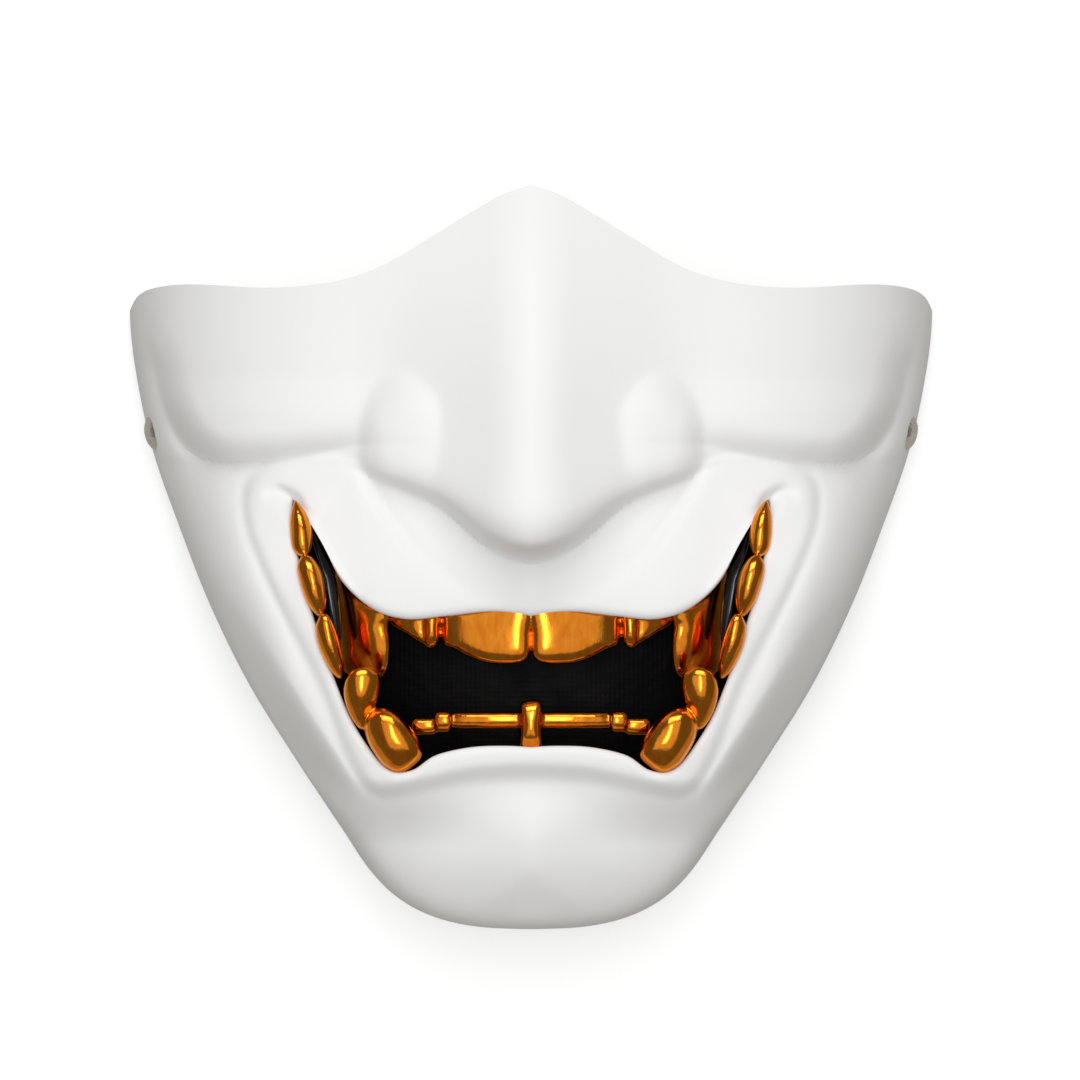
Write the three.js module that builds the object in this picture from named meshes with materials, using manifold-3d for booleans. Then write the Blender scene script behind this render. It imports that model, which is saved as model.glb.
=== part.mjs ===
// A half-face guard in the samurai style: one moulded white shell with nose, cheeks, lips and chin,
// two plated rows of teeth behind its open mouth, a dark screen behind the teeth, and a metal stud
// on each side wall for a strap. It lies on its rim with the face upwards.
//
// The face is drawn in its own frame, in millimetres: +X to one side, +Y up the face, +Z forwards.
// The last lines turn it back by the rim's tilt, so that the rim lies flat on the surface, +Z up.

import * as THREE from "three";
import Module from "manifold-3d";
import { mergeVertices } from "three/addons/utils/BufferGeometryUtils.js";

const wasm = await Module();
wasm.setup();

// Driving dimensions of the shell
const MASK_WIDTH = 190; // over the cheek corners
const MASK_HEIGHT = 175; // nose bridge peak to chin
const FACE_DEPTH = 80; // upper lip ahead of the upper ends of the rim
const RIM_TILT = 13; // degrees between the rim's plane and the face's own plane
const RIM_RISE = 3.5; // the rim lifts off the surface by this along the jaw
const WALL = 2.6;
const LIP_EXTRA = 1.6; // the wall is this much thicker at the mouth's edge
const LIP_EXTRA_REACH = 7;
const CLEARANCE = 0.35; // between pieces that are glued or seated

// Driving dimensions of the nose
const NOSE_WIDTH = 79; // over the wings
const NOSE_LENGTH = 88; // bridge peak to underside
const NOSE_RISE = 22; // tip above the face
const BRIDGE_RISE = 8; // bridge peak above the face
const RIDGE_WIDTH = 8.4; // level top of the ridge
const TIP_ROUND = 11.5; // length over which the tip rolls under
const WING_RISE = 6.8;

// Driving dimensions of the cheeks, muzzle, lips and chin
const CHEEK_RISE = 5.4; // cheek pad above its groove
const CHEEK_ROUND = 9; // length over which the pad rolls into the groove
const GROOVE_ROUND = 3.5; // length over which the groove rises again below the pad
const MUZZLE_RISE = 1.6; // ring round the mouth above the jowl
const RING_STEP = 5; // widest step at the ring's outer edge
const LOWER_LIP_RISE = 3.4;
const LIP_ROUND = 2.2; // radius of the mouth's edge
const LIP_DROP = 1.5;
const JOWL_RISE = 1.6;
const CHIN_RIDGE = 4.2; // middle of the chin above its sides
const CHIN_FOOT_DROP = 1.6; // hollow under the chin's ridge
const PHILTRUM_RISE = 1.1; // ridge between nose and upper lip
const PHILTRUM_WIDTH = 5;
const JAW_WALL = 6; // height of the jaw's upright edge above the rim
const JAW_FILLET = 2.5; // between the jaw's side plane and the front

// Driving dimensions of the mouth and of what it holds
const MOUTH_SHARE = 56 / 95; // corner to corner, as a share of the mask's width
const MOUTH_HEIGHT = 64; // corners to the foot of the tusks
const MOUTH_CORNER_LIFT = 14; // corners above the nose's lowest point
const SEAT_BAND = 7; // glued band of each row of teeth, behind the lip
const SEAT_THICKNESS = 1.8;
const SCREEN_THICKNESS = 1.2;
const SCREEN_DEPTH = 17; // screen behind the lips at the middle of the mouth
const SCREEN_CURVE = 10; // its sides lie further back by this
const SCREEN_FILLET = 3;
const TOOTH_DEPTH = 10; // the teeth's own depths are shares of this
const TOOTH_BACK = 2.5; // half thickness of a tooth behind its widest outline
const LIP_RISE = 2.2; // lips' edge above the plain face

// Driving dimensions of the strap studs
const STUD_HEIGHT = 117; // above the chin
const STUD_CAP_RADIUS = 3.9;
const STUD_CAP_HEIGHT = 1.5;
const STUD_SHANK_RADIUS = 1.4;
const STUD_WASHER_RADIUS = 3.2;
const STUD_WASHER_THICKNESS = 0.9;
const STUD_DEPTH = 0.24; // share of the side wall's depth at which the stud sits

// Fineness of the faceted surfaces
const SPOKES_PER_SIDE = 34;
const RINGS = 23;
const CURVE_STEPS = 6;
const TOOTH_SIDES = 12;
const TOOTH_RINGS = 6;

const HALF_WIDTH = MASK_WIDTH / 2;
const CHIN_Y = -MASK_HEIGHT / 2;
const NOSE_FOOT_Y = CHIN_Y + MASK_HEIGHT - NOSE_LENGTH;
const MOUTH_Y = NOSE_FOOT_Y + MOUTH_CORNER_LIFT;
const HALF_MOUTH = (MOUTH_SHARE * MASK_WIDTH) / 2;
const HALF_NOSE = NOSE_WIDTH / 2;
const TILT = THREE.MathUtils.degToRad(RIM_TILT);

// Half width of the face at a height, both as shares of the mask's size. The chin's own round is
// left out here.
const OUTLINE = [
  { height: 0.0, half: 0.345 },
  { height: 0.113, half: 0.447 },
  { height: 0.166, half: 0.508 },
  { height: 0.22, half: 0.574 },
  { height: 0.327, half: 0.698 },
  { height: 0.434, half: 0.796 },
  { height: 0.542, half: 0.875 },
  { height: 0.649, half: 0.944 },
  { height: 0.756, half: 0.986 },
  { height: 0.83, half: 1.0 },
  { height: 1.0, half: 1.0 },
];

// Upper edge: height against the distance from the middle, as shares of the mask's size
const TOP_EDGE = [
  { side: 0.0, height: 1.0 },
  { side: 0.06, height: 0.99 },
  { side: 0.126, height: 0.971 },
  { side: 0.249, height: 0.93 },
  { side: 0.373, height: 0.891 },
  { side: 0.496, height: 0.87 },
  { side: 0.65, height: 0.863 },
  { side: 0.85, height: 0.868 },
  { side: 0.94, height: 0.863 },
  { side: 0.98, height: 0.852 },
  { side: 1.0, height: 0.834 },
];

// Depth of the face down its middle, without the nose, as a share of FACE_DEPTH
const PROFILE = [
  { height: 0.0, depth: 0.925 },
  { height: 0.1, depth: 0.94 },
  { height: 0.2, depth: 0.94 },
  { height: 0.27, depth: 0.955 },
  { height: 0.44, depth: 0.975 },
  { height: 0.55, depth: 0.94 },
  { height: 0.7, depth: 0.89 },
  { height: 0.85, depth: 0.85 },
  { height: 1.0, depth: 0.82 },
];

// Mouth opening, from the middle of the upper lip round to the middle of the lower lip. across is a
// share of half the mouth's width, down a share of its height, below the corners.
const MOUTH = [
  { across: 0.0, down: 0.425 },
  { across: 0.16, down: 0.408 },
  { across: 0.36, down: 0.425 },
  { across: 0.52, down: 0.436 },
  { across: 0.66, down: 0.4 },
  { across: 0.79, down: 0.3 },
  { across: 0.87, down: 0.165 },
  { across: 0.94, down: 0.05 },
  { across: 0.992, down: 0.0 },
  { across: 1.0, down: 0.07 },
  { across: 0.965, down: 0.25 },
  { across: 0.91, down: 0.43 },
  { across: 0.85, down: 0.59 },
  { across: 0.775, down: 0.76 },
  { across: 0.7, down: 0.88 },
  { across: 0.6, down: 0.985 },
  { across: 0.5, down: 0.99 },
  { across: 0.4, down: 0.935 },
  { across: 0.25, down: 0.905 },
  { across: 0.1, down: 0.9 },
  { across: 0.0, down: 0.905 },
];

// Outer edge of the raised ring round the mouth, from under the lower lip, up the side and along
// the top of the muzzle to the upper lip, in the mouth's shares. rise is its height, as a share, and
// width its step's, as a share of RING_STEP.
const RING = [
  { across: 0.0, down: 1.0, rise: 1.0, width: 1.0 },
  { across: 0.26, down: 1.015, rise: 1.0, width: 0.96 },
  { across: 0.5, down: 1.06, rise: 0.9, width: 0.84 },
  { across: 0.62, down: 1.075, rise: 0.8, width: 0.68 },
  { across: 0.7, down: 1.03, rise: 0.7, width: 0.56 },
  { across: 0.78, down: 0.9, rise: 0.66, width: 0.48 },
  { across: 0.88, down: 0.68, rise: 0.66, width: 0.48 },
  { across: 1.01, down: 0.45, rise: 0.66, width: 0.48 },
  { across: 1.12, down: 0.25, rise: 0.66, width: 0.48 },
  { across: 1.19, down: 0.08, rise: 0.66, width: 0.48 },
  { across: 1.19, down: -0.06, rise: 0.62, width: 0.48 },
  { across: 1.1, down: -0.13, rise: 0.58, width: 0.4 },
  { across: 0.96, down: -0.152, rise: 0.56, width: 0.32 },
  { across: 0.8, down: -0.158, rise: 0.56, width: 0.3 },
  { across: 0.72, down: -0.125, rise: 0.52, width: 0.3 },
  { across: 0.665, down: -0.03, rise: 0.45, width: 0.32 },
  { across: 0.58, down: 0.08, rise: 0.4, width: 0.36 },
  { across: 0.47, down: 0.2, rise: 0.34, width: 0.4 },
  { across: 0.34, down: 0.29, rise: 0.26, width: 0.52 },
  { across: 0.18, down: 0.37, rise: 0.14, width: 0.68 },
  { across: 0.0, down: 0.41, rise: 0.06, width: 0.8 },
];

// Groove beside and under the cheek pad, from near the upper edge to the nose, as shares of the
// mask's half width and height. depth is a share of CHEEK_RISE.
const CHEEK_GROOVE = [
  { side: 0.985, height: 0.9, depth: 0.1 },
  { side: 0.95, height: 0.8, depth: 0.2 },
  { side: 0.915, height: 0.755, depth: 0.75 },
  { side: 0.9, height: 0.715, depth: 0.95 },
  { side: 0.872, height: 0.68, depth: 1.0 },
  { side: 0.825, height: 0.65, depth: 1.0 },
  { side: 0.755, height: 0.632, depth: 0.95 },
  { side: 0.66, height: 0.631, depth: 0.85 },
  { side: 0.56, height: 0.638, depth: 0.72 },
  { side: 0.46, height: 0.648, depth: 0.5 },
  { side: 0.36, height: 0.655, depth: 0.25 },
];

// Underside of the nose, from the middle to the wing's outer foot. across is a share of half the
// nose's width, up a share of its length above the lowest point.
const NOSE_FOOT = [
  { across: 0.0, up: 0.0 },
  { across: 0.12, up: 0.012 },
  { across: 0.28, up: 0.055 },
  { across: 0.52, up: 0.145 },
  { across: 0.74, up: 0.192 },
  { across: 0.9, up: 0.215 },
  { across: 1.1, up: 0.26 },
];

// Fold that runs on from the mouth's corner, in the mouth's shares
const CORNER_FOLD = [
  { across: 0.985, down: 0.0 },
  { across: 1.05, down: -0.035 },
  { across: 1.13, down: -0.02 },
];

// How far round the mouth and how far round the rim each line of facets starts and ends, from the
// middle of the upper edge to the middle of the chin
const SPOKE_ENDS = [
  { share: 0.0, mouth: 0.0, rim: 0.0 },
  { share: 0.12, mouth: 0.13, rim: 0.1 },
  { share: 0.24, mouth: 0.27, rim: 0.2 },
  { share: 0.36, mouth: 0.365, rim: 0.36 },
  { share: 0.46, mouth: 0.415, rim: 0.485 },
  { share: 0.6, mouth: 0.53, rim: 0.62 },
  { share: 0.76, mouth: 0.7, rim: 0.78 },
  { share: 0.88, mouth: 0.83, rim: 0.905 },
  { share: 1.0, mouth: 1.0, rim: 1.0 },
];

// Teeth of one side. outline goes round a tooth, across and down in the mouth's shares. bulge is how
// far it stands out and behind how far its foot lies behind the lips, as shares of TOOTH_DEPTH.
// square runs from 2, round, to 4, boxy. turned falls away to the side and tipped comes forward
// upwards, both as slopes.
const UPPER_TEETH = [
  {
    bulge: 0.34,
    behind: 0.68,
    square: 2.8,
    turned: 0.2,
    tipped: 0,
    outline: [
      [0.006, 0.36], [0.2, 0.35], [0.37, 0.36], [0.372, 0.525],
      [0.32, 0.56], [0.236, 0.584], [0.162, 0.602], [0.088, 0.606],
      [0.03, 0.595], [0.006, 0.558], [0.004, 0.45],
    ],
  },
  {
    bulge: 0.3,
    behind: 0.86,
    square: 2.4,
    turned: 0.1,
    tipped: 0,
    outline: [
      [0.375, 0.36], [0.375, 0.5], [0.39, 0.565], [0.43, 0.572],
      [0.448, 0.52], [0.45, 0.36],
    ],
  },
  {
    bulge: 0.3,
    behind: 1.05,
    square: 3,
    turned: 0.35,
    tipped: 0,
    outline: [
      [0.44, 0.34], [0.44, 0.5], [0.455, 0.558], [0.5, 0.525],
      [0.56, 0.488], [0.61, 0.44], [0.62, 0.36],
    ],
  },
  {
    bulge: 0.3,
    behind: 1.22,
    square: 2.4,
    turned: 0.45,
    tipped: 0.15,
    outline: [
      [0.84, 0.2], [0.822, 0.366], [0.803, 0.495], [0.783, 0.6],
      [0.728, 0.665], [0.644, 0.715], [0.575, 0.725], [0.577, 0.66],
      [0.602, 0.587], [0.615, 0.495], [0.6, 0.411], [0.6, 0.32],
      [0.7, 0.22],
    ],
  },
];
const LOWER_TEETH = [
  {
    bulge: 0.44,
    behind: 0.58,
    square: 2.2,
    turned: 0,
    tipped: 0,
    outline: [
      [-0.046, 0.74], [-0.05, 0.82], [-0.046, 0.912], [0, 0.925],
      [0.046, 0.912], [0.05, 0.82], [0.046, 0.74], [0, 0.73],
    ],
  },
  {
    bulge: 0.42,
    behind: 0.64,
    square: 2.4,
    turned: 0.05,
    tipped: 0,
    outline: [
      [0.02, 0.76], [0.02, 0.905], [0.2, 0.91], [0.34, 0.935],
      [0.36, 0.84], [0.345, 0.755], [0.19, 0.765],
    ],
  },
  {
    bulge: 0.46,
    behind: 0.6,
    square: 2.3,
    turned: 0.1,
    tipped: 0,
    outline: [
      [0.335, 0.72], [0.33, 0.84], [0.34, 0.945], [0.39, 0.955],
      [0.43, 0.94], [0.435, 0.84], [0.425, 0.72], [0.38, 0.705],
    ],
  },
  {
    bulge: 0.4,
    behind: 0.64,
    square: 2.3,
    turned: 0.15,
    tipped: 0,
    outline: [
      [0.41, 0.74], [0.415, 0.955], [0.46, 0.972], [0.51, 0.95],
      [0.52, 0.84], [0.49, 0.745],
    ],
  },
  {
    bulge: 0.58,
    behind: 0.36,
    square: 2,
    turned: 0,
    tipped: 0,
    outline: [
      [0.64, 0.73], [0.688, 0.775], [0.7, 0.836], [0.68, 0.891],
      [0.64, 0.948], [0.585, 0.987], [0.543, 1], [0.497, 0.982],
      [0.455, 0.94], [0.434, 0.889], [0.45, 0.83], [0.497, 0.77],
      [0.551, 0.735], [0.6, 0.718],
    ],
  },
  {
    bulge: 0.54,
    behind: 0.4,
    square: 1.9,
    turned: 0,
    tipped: 0,
    outline: [
      [0.775, 0.61], [0.8, 0.668], [0.784, 0.735], [0.755, 0.79],
      [0.715, 0.836], [0.66, 0.82], [0.62, 0.753], [0.63, 0.683],
      [0.675, 0.62], [0.73, 0.595],
    ],
  },
  {
    bulge: 0.52,
    behind: 0.42,
    square: 1.9,
    turned: 0,
    tipped: 0,
    outline: [
      [0.865, 0.4], [0.912, 0.43], [0.906, 0.492], [0.888, 0.554],
      [0.856, 0.605], [0.81, 0.65], [0.772, 0.63], [0.77, 0.569],
      [0.788, 0.5], [0.82, 0.43],
    ],
  },
  {
    bulge: 0.52,
    behind: 0.42,
    square: 1.9,
    turned: 0,
    tipped: 0,
    outline: [
      [0.94, 0.185], [0.982, 0.215], [0.98, 0.282], [0.957, 0.34],
      [0.92, 0.39], [0.888, 0.415], [0.856, 0.38], [0.857, 0.319],
      [0.872, 0.255], [0.903, 0.2],
    ],
  },
  {
    bulge: 0.44,
    behind: 0.42,
    square: 1.9,
    turned: 0,
    tipped: 0,
    outline: [
      [0.984, 0.02], [1.008, 0.055], [1.008, 0.115], [1.002, 0.17],
      [0.985, 0.208], [0.95, 0.212], [0.936, 0.17], [0.943, 0.1],
      [0.962, 0.045],
    ],
  },
];

const clamp01 = (t) => Math.min(1, Math.max(0, t));
const smooth = (t) => clamp01(t) ** 2 * (3 - 2 * clamp01(t));
const mix = (a, b, t) => a + (b - a) * t;

// Quarter of a superellipse: 0 with an upright start at t = 0, 1 with a level end from t = 1 on
function roll(t, power) {
  return (1 - (1 - clamp01(t)) ** power) ** (1 / power);
}

// Larger of two heights, blended over a fillet
function softMax(a, b, fillet) {
  const h = Math.max(0, fillet - Math.abs(a - b)) / fillet;
  return Math.max(a, b) + (h * h * fillet) / 4;
}

// Value of one column of a table at a value of another, on a smooth curve through the rows
function tableValue(table, column, at, from) {
  const last = table.length - 1;
  if (at <= table[0][from]) return table[0][column];
  if (at >= table[last][from]) return table[last][column];
  let i = 0;
  while (at > table[i + 1][from]) i += 1;
  const slope = (k) => {
    const before = table[Math.max(0, k - 1)];
    const after = table[Math.min(last, k + 1)];
    return (after[column] - before[column]) / (after[from] - before[from]);
  };
  const span = table[i + 1][from] - table[i][from];
  const t = (at - table[i][from]) / span;
  const [a, b] = [table[i][column], table[i + 1][column]];
  const bend = t * (1 - t);
  const straight = (b - a) / span;
  return (
    mix(a, b, t) +
    bend * ((1 - t) * (slope(i) - straight) + t * (straight - slope(i + 1))) * span
  );
}

// Fine points of a smooth curve through a table's rows, each with every column of the table
function finePoints(table, steps) {
  const columns = Object.keys(table[0]);
  const points = [];
  for (let i = 0; i < table.length - 1; i += 1) {
    const rows = [i - 1, i, i + 1, i + 2].map((k) => table[THREE.MathUtils.clamp(k, 0, table.length - 1)]);
    for (let s = 0; s < steps; s += 1) {
      const t = s / steps;
      const weights = [
        (-t + 2 * t * t - t * t * t) / 2,
        (2 - 5 * t * t + 3 * t * t * t) / 2,
        (t + 4 * t * t - 3 * t * t * t) / 2,
        (-t * t + t * t * t) / 2,
      ];
      const point = {};
      for (const c of columns) point[c] = rows.reduce((sum, row, k) => sum + row[c] * weights[k], 0);
      points.push(point);
    }
  }
  points.push({ ...table[table.length - 1] });
  return points;
}

const faceX = (share) => share * HALF_WIDTH;
const faceY = (share) => CHIN_Y + share * MASK_HEIGHT;
const mouthX = (share) => share * HALF_MOUTH;
const mouthY = (share) => MOUTH_Y - share * MOUTH_HEIGHT;
const heightShare = (y) => (y - CHIN_Y) / MASK_HEIGHT;

const byMouth = (p) => ({ ...p, x: mouthX(p.across), y: mouthY(p.down) });
const mouthCurve = finePoints(MOUTH, CURVE_STEPS).map(byMouth);
const ringCurve = finePoints(RING, CURVE_STEPS).map(byMouth);
const foldCurve = finePoints(CORNER_FOLD, CURVE_STEPS).map(byMouth);
const grooveCurve = finePoints(CHEEK_GROOVE, CURVE_STEPS).map((p) => ({
  ...p,
  x: faceX(p.side),
  y: faceY(p.height),
}));

// Nearest point of a curve: its distance, positive on the left of the curve's direction, and how
// far along the curve it lies
function nearest(curve, x, y) {
  let best = { squared: Infinity };
  for (let i = 0; i < curve.length - 1; i += 1) {
    const a = curve[i];
    const b = curve[i + 1];
    const [dx, dy] = [b.x - a.x, b.y - a.y];
    const t = clamp01(((x - a.x) * dx + (y - a.y) * dy) / (dx * dx + dy * dy));
    const [ox, oy] = [x - a.x - t * dx, y - a.y - t * dy];
    const squared = ox * ox + oy * oy;
    if (squared < best.squared) best = { squared, side: Math.sign(dx * oy - dy * ox), index: i, t };
  }
  const a = curve[best.index];
  const b = curve[best.index + 1];
  return {
    distance: best.side * Math.sqrt(best.squared),
    column: (name) => mix(a[name], b[name], best.t),
    along: (best.index + best.t) / (curve.length - 1),
  };
}

// The outline, the rim and the plain dome of the face
const CHIN_ROUND_START = 0.245; // share of the height below which the chin's round begins
const CHIN_SQUARE = 6;
const DOME_ROUND = 2.3;
const JAW_SQUARE = 2.7;
const SQUARE_FADE = { start: 0.25, span: 0.4 }; // shares of the height over which the jaw turns dome
const RIM_TOP = 0.834; // share of the height at which the rim starts at the upper corner
const RIM_LIFT = { low: 0.08, high: 0.66 }; // shares of the height between which the rim is lifted

const squareFade = (share) => smooth((share - SQUARE_FADE.start) / SQUARE_FADE.span);
const squarenessAt = (share) => mix(JAW_SQUARE, DOME_ROUND, squareFade(share));
const halfWidthAt = (y) => faceX(tableValue(OUTLINE, "half", heightShare(y), "height"));
const topEdgeAt = (x) => faceY(tableValue(TOP_EDGE, "height", Math.abs(x) / HALF_WIDTH, "side"));

function rimHeightAt(y) {
  const share = heightShare(y);
  const plane = Math.tan(TILT) * (RIM_TOP - share) * MASK_HEIGHT;
  const t = clamp01((share - RIM_LIFT.low) / (RIM_LIFT.high - RIM_LIFT.low));
  return plane + RIM_RISE * Math.sin(Math.PI * t) ** 2;
}

// 1 in the middle of the face, falling to 0 at the outline
function insideness(x, y) {
  const share = heightShare(y);
  const across = (Math.abs(x) / halfWidthAt(y)) ** squarenessAt(share);
  const down = clamp01((CHIN_ROUND_START - share) / CHIN_ROUND_START) ** CHIN_SQUARE;
  return Math.max(0, 1 - across - down);
}

// How much of the front's height is left at a point: 1 inside, 0 at the outline. The jaw is fuller.
const JAW_FULL = { power: 1.8, end: 0.48, fade: 0.17 };

function fullness(x, y) {
  const left = insideness(x, y) ** (1 / DOME_ROUND);
  const power = mix(JAW_FULL.power, 1, smooth((heightShare(y) - JAW_FULL.end) / JAW_FULL.fade));
  return 1 - (1 - left) ** power;
}

const middleDepth = (y) => FACE_DEPTH * tableValue(PROFILE, "depth", heightShare(y), "height");

function domeHeight(x, y) {
  const rim = rimHeightAt(y);
  return rim + (middleDepth(y) - rim) * fullness(x, y);
}

// The nose: a roof from bridge to tip, with a wing on each side, that ends at its underside. Spans
// up the nose are shares of its length, widths shares of half its width.
const RIDGE_FALL = { start: 0.12, span: 1.05 };
const ROOF = { tip: 0.95, bridge: 1.15 };
const ROOF_HOLLOW = { tip: 1.25, bridge: 1.7 };
const TIP_BROADEN = { by: 0.5, start: 0.05, span: 0.3 };
const RIDGE_FILLET = 0.13 * HALF_NOSE;
const WING = { across: 0.765, up: 0.325, wide: 0.262, tall: 0.19, level: 3.4, lean: 0.12 };
const WING_FILLET = 0.09 * HALF_NOSE;
const UNDERSIDE = { power: 1.9, atWing: 0.5, start: 0.1, span: 0.46 };

function noseFootAt(x) {
  return NOSE_FOOT_Y + NOSE_LENGTH * tableValue(NOSE_FOOT, "up", Math.abs(x) / HALF_NOSE, "across");
}

function noseHeight(x, y) {
  const side = Math.abs(x);
  const up = (y - NOSE_FOOT_Y) / NOSE_LENGTH;
  const rise = mix(NOSE_RISE, BRIDGE_RISE, smooth((up - RIDGE_FALL.start) / RIDGE_FALL.span));
  const broader = 1 + TIP_BROADEN.by * (1 - smooth((up - TIP_BROADEN.start) / TIP_BROADEN.span));
  const ridge = (RIDGE_WIDTH / 2) * broader;
  const halfRoof = HALF_NOSE * mix(ROOF.tip, ROOF.bridge, clamp01(up));
  const across = softMax(side - ridge, 0, RIDGE_FILLET) / (halfRoof - ridge);
  const roof = rise * clamp01(1 - across) ** mix(ROOF_HOLLOW.tip, ROOF_HOLLOW.bridge, clamp01(up));
  const wingX = (side / HALF_NOSE - WING.across - WING.lean * (WING.up - up)) / WING.wide;
  const wingY = (up - WING.up) / WING.tall;
  const wing = WING_RISE * Math.max(0, 1 - Math.hypot(wingX, wingY) ** WING.level);
  const atSide = smooth((side / HALF_NOSE - UNDERSIDE.start) / UNDERSIDE.span);
  const round = TIP_ROUND * mix(1, UNDERSIDE.atWing, atSide);
  const under = 1 - (1 - clamp01((y - noseFootAt(x)) / round)) ** UNDERSIDE.power;
  return softMax(roof, wing, WING_FILLET) * under;
}

// Cheek pad: a raised plateau above its groove
const PAD_POWER = 2.2;
const GROOVE_BANK = 0.38; // share of the groove's depth that the cheek below it rises again
const PAD_FADE = { start: 0.2, span: 0.3 }; // towards the nose, as shares of the half width

function cheekHeight(x, y) {
  const near = nearest(grooveCurve, Math.abs(x), y);
  const depth = CHEEK_RISE * near.column("depth");
  const away = -near.distance; // the pad lies on the right of the curve
  const inside = 1 - (1 - clamp01(away / CHEEK_ROUND)) ** PAD_POWER;
  const pad = away > 0 ? inside : GROOVE_BANK * (1 - Math.exp(away / GROOVE_ROUND));
  return depth * (pad - 1) * smooth((Math.abs(x) / HALF_WIDTH - PAD_FADE.start) / PAD_FADE.span);
}

// Ring round the mouth with its step, the groove outside it and the fold at the corner
const RING_GROOVE = 0.7;
const RING_GROOVE_WIDTH = 1.5;
const LIP_PART = 0.7; // the ring is lower lip where its rise is above this, muzzle elsewhere
const MUZZLE_FULL = 0.66; // rise at which the muzzle has its full height
const GROOVE_FULL = 0.5;
const FOLD_DEPTH = 1.9;
const FOLD_WIDTH = 1.7;

function ringHeight(x, y) {
  const near = nearest(ringCurve, Math.abs(x), y);
  const rise = near.column("rise");
  const top = rise > LIP_PART ? LOWER_LIP_RISE * rise : (MUZZLE_RISE * rise) / MUZZLE_FULL;
  const step = top * smooth(0.5 + near.distance / (RING_STEP * near.column("width")));
  const deep = RING_GROOVE * Math.min(1, rise / GROOVE_FULL);
  const groove = deep * Math.exp(-((near.distance / RING_GROOVE_WIDTH) ** 2));
  const fold = nearest(foldCurve, Math.abs(x), y);
  const crease = FOLD_DEPTH * (1 - fold.along) * Math.exp(-((fold.distance / FOLD_WIDTH) ** 2));
  return step - groove - crease;
}

// Jowl beside the mouth, ridge and foot of the chin, and ridge under the nose. Spans are shares of
// the height, sides shares of the half width.
const JOWL = { side: 0.84, width: 0.07, low: 0.2, lowFade: 0.15, high: 0.63, highFade: 0.1 };
const CHIN_CREST = { top: 0.205, fade: 0.06, half: 0.42, round: 0.026, level: 0.5 };
const CHIN_FOOT = { top: 0.088, slope: 0.4, fade: 0.06 };
const PHILTRUM = { low: 0.4, lowFade: 0.04, high: 0.56, highFade: 0.08 };

function softForms(x, y) {
  const share = heightShare(y);
  const across = Math.abs(x) / HALF_WIDTH;
  const side = Math.abs(x) / halfWidthAt(y);
  const jowlSpan = smooth((share - JOWL.low) / JOWL.lowFade) * smooth((JOWL.high - share) / JOWL.highFade);
  const jowl = JOWL_RISE * jowlSpan * Math.exp(-(((side - JOWL.side) / JOWL.width) ** 2));
  const fromRidge = Math.hypot(across, CHIN_CREST.round) / CHIN_CREST.half;
  const crest = Math.max(0, 1 - fromRidge) - CHIN_CREST.level;
  const chin = CHIN_RIDGE * smooth((CHIN_CREST.top - share) / CHIN_CREST.fade) * crest;
  const foot = CHIN_FOOT_DROP * smooth((CHIN_FOOT.top - CHIN_FOOT.slope * across - share) / CHIN_FOOT.fade);
  const lipSpan = smooth((share - PHILTRUM.low) / PHILTRUM.lowFade);
  const noseSpan = smooth((PHILTRUM.high - share) / PHILTRUM.highFade);
  const philtrum = PHILTRUM_RISE * Math.exp(-((x / PHILTRUM_WIDTH) ** 2)) * lipSpan * noseSpan;
  return jowl + chin + philtrum - foot;
}

// Front of the face at a point inside the outline, without the round of the mouth's edge
const FORM_EDGE = 2.2; // the forms fade over the last 1 / 2.2 of the fullness

function faceHeight(x, y) {
  const front = noseHeight(x, y) + ringHeight(x, y) + cheekHeight(x, y) + softForms(x, y);
  return domeHeight(x, y) + front * smooth(fullness(x, y) * FORM_EDGE);
}

// The side plane of the jaw keeps the front from bulging over the outline
const JAW_SLOPE = 4.5;
const JAW_SPAN = { low: 0.14, lowFade: 0.08, high: 0.66, highFade: 0.14, edge: 6 };

function frontHeight(x, y) {
  const free = faceHeight(x, y);
  const share = heightShare(y);
  const rim = rimHeightAt(y);
  const plane = Math.max(rim, rim + JAW_WALL + JAW_SLOPE * (halfWidthAt(y) - Math.abs(x)));
  const limited = Math.min(free, -softMax(-free, -plane, JAW_FILLET));
  const below = smooth((JAW_SPAN.high - share) / JAW_SPAN.highFade);
  const above = smooth((share - JAW_SPAN.low) / JAW_SPAN.lowFade);
  return mix(free, limited, below * above * smooth(fullness(x, y) * JAW_SPAN.edge));
}

// Shares of a curve's length at each of its points
function lengthShares(points) {
  const lengths = [0];
  for (let i = 1; i < points.length; i += 1) {
    lengths.push(lengths[i - 1] + points[i].distanceTo(points[i - 1]));
  }
  return lengths.map((l) => l / lengths[lengths.length - 1]);
}

function pointAlong(points, shares, at) {
  let i = 0;
  while (i < points.length - 2 && at > shares[i + 1]) i += 1;
  const t = clamp01((at - shares[i]) / (shares[i + 1] - shares[i]));
  return points[i].clone().lerp(points[i + 1], t);
}

// The rim of one side in space: along the upper edge to the corner, then down to the chin
const RIM_SAMPLES = 240;
const CORNER_CROWD = 3; // the samples lie closer towards the corner
const JUST_INSIDE = 1 - 1e-7;

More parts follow.
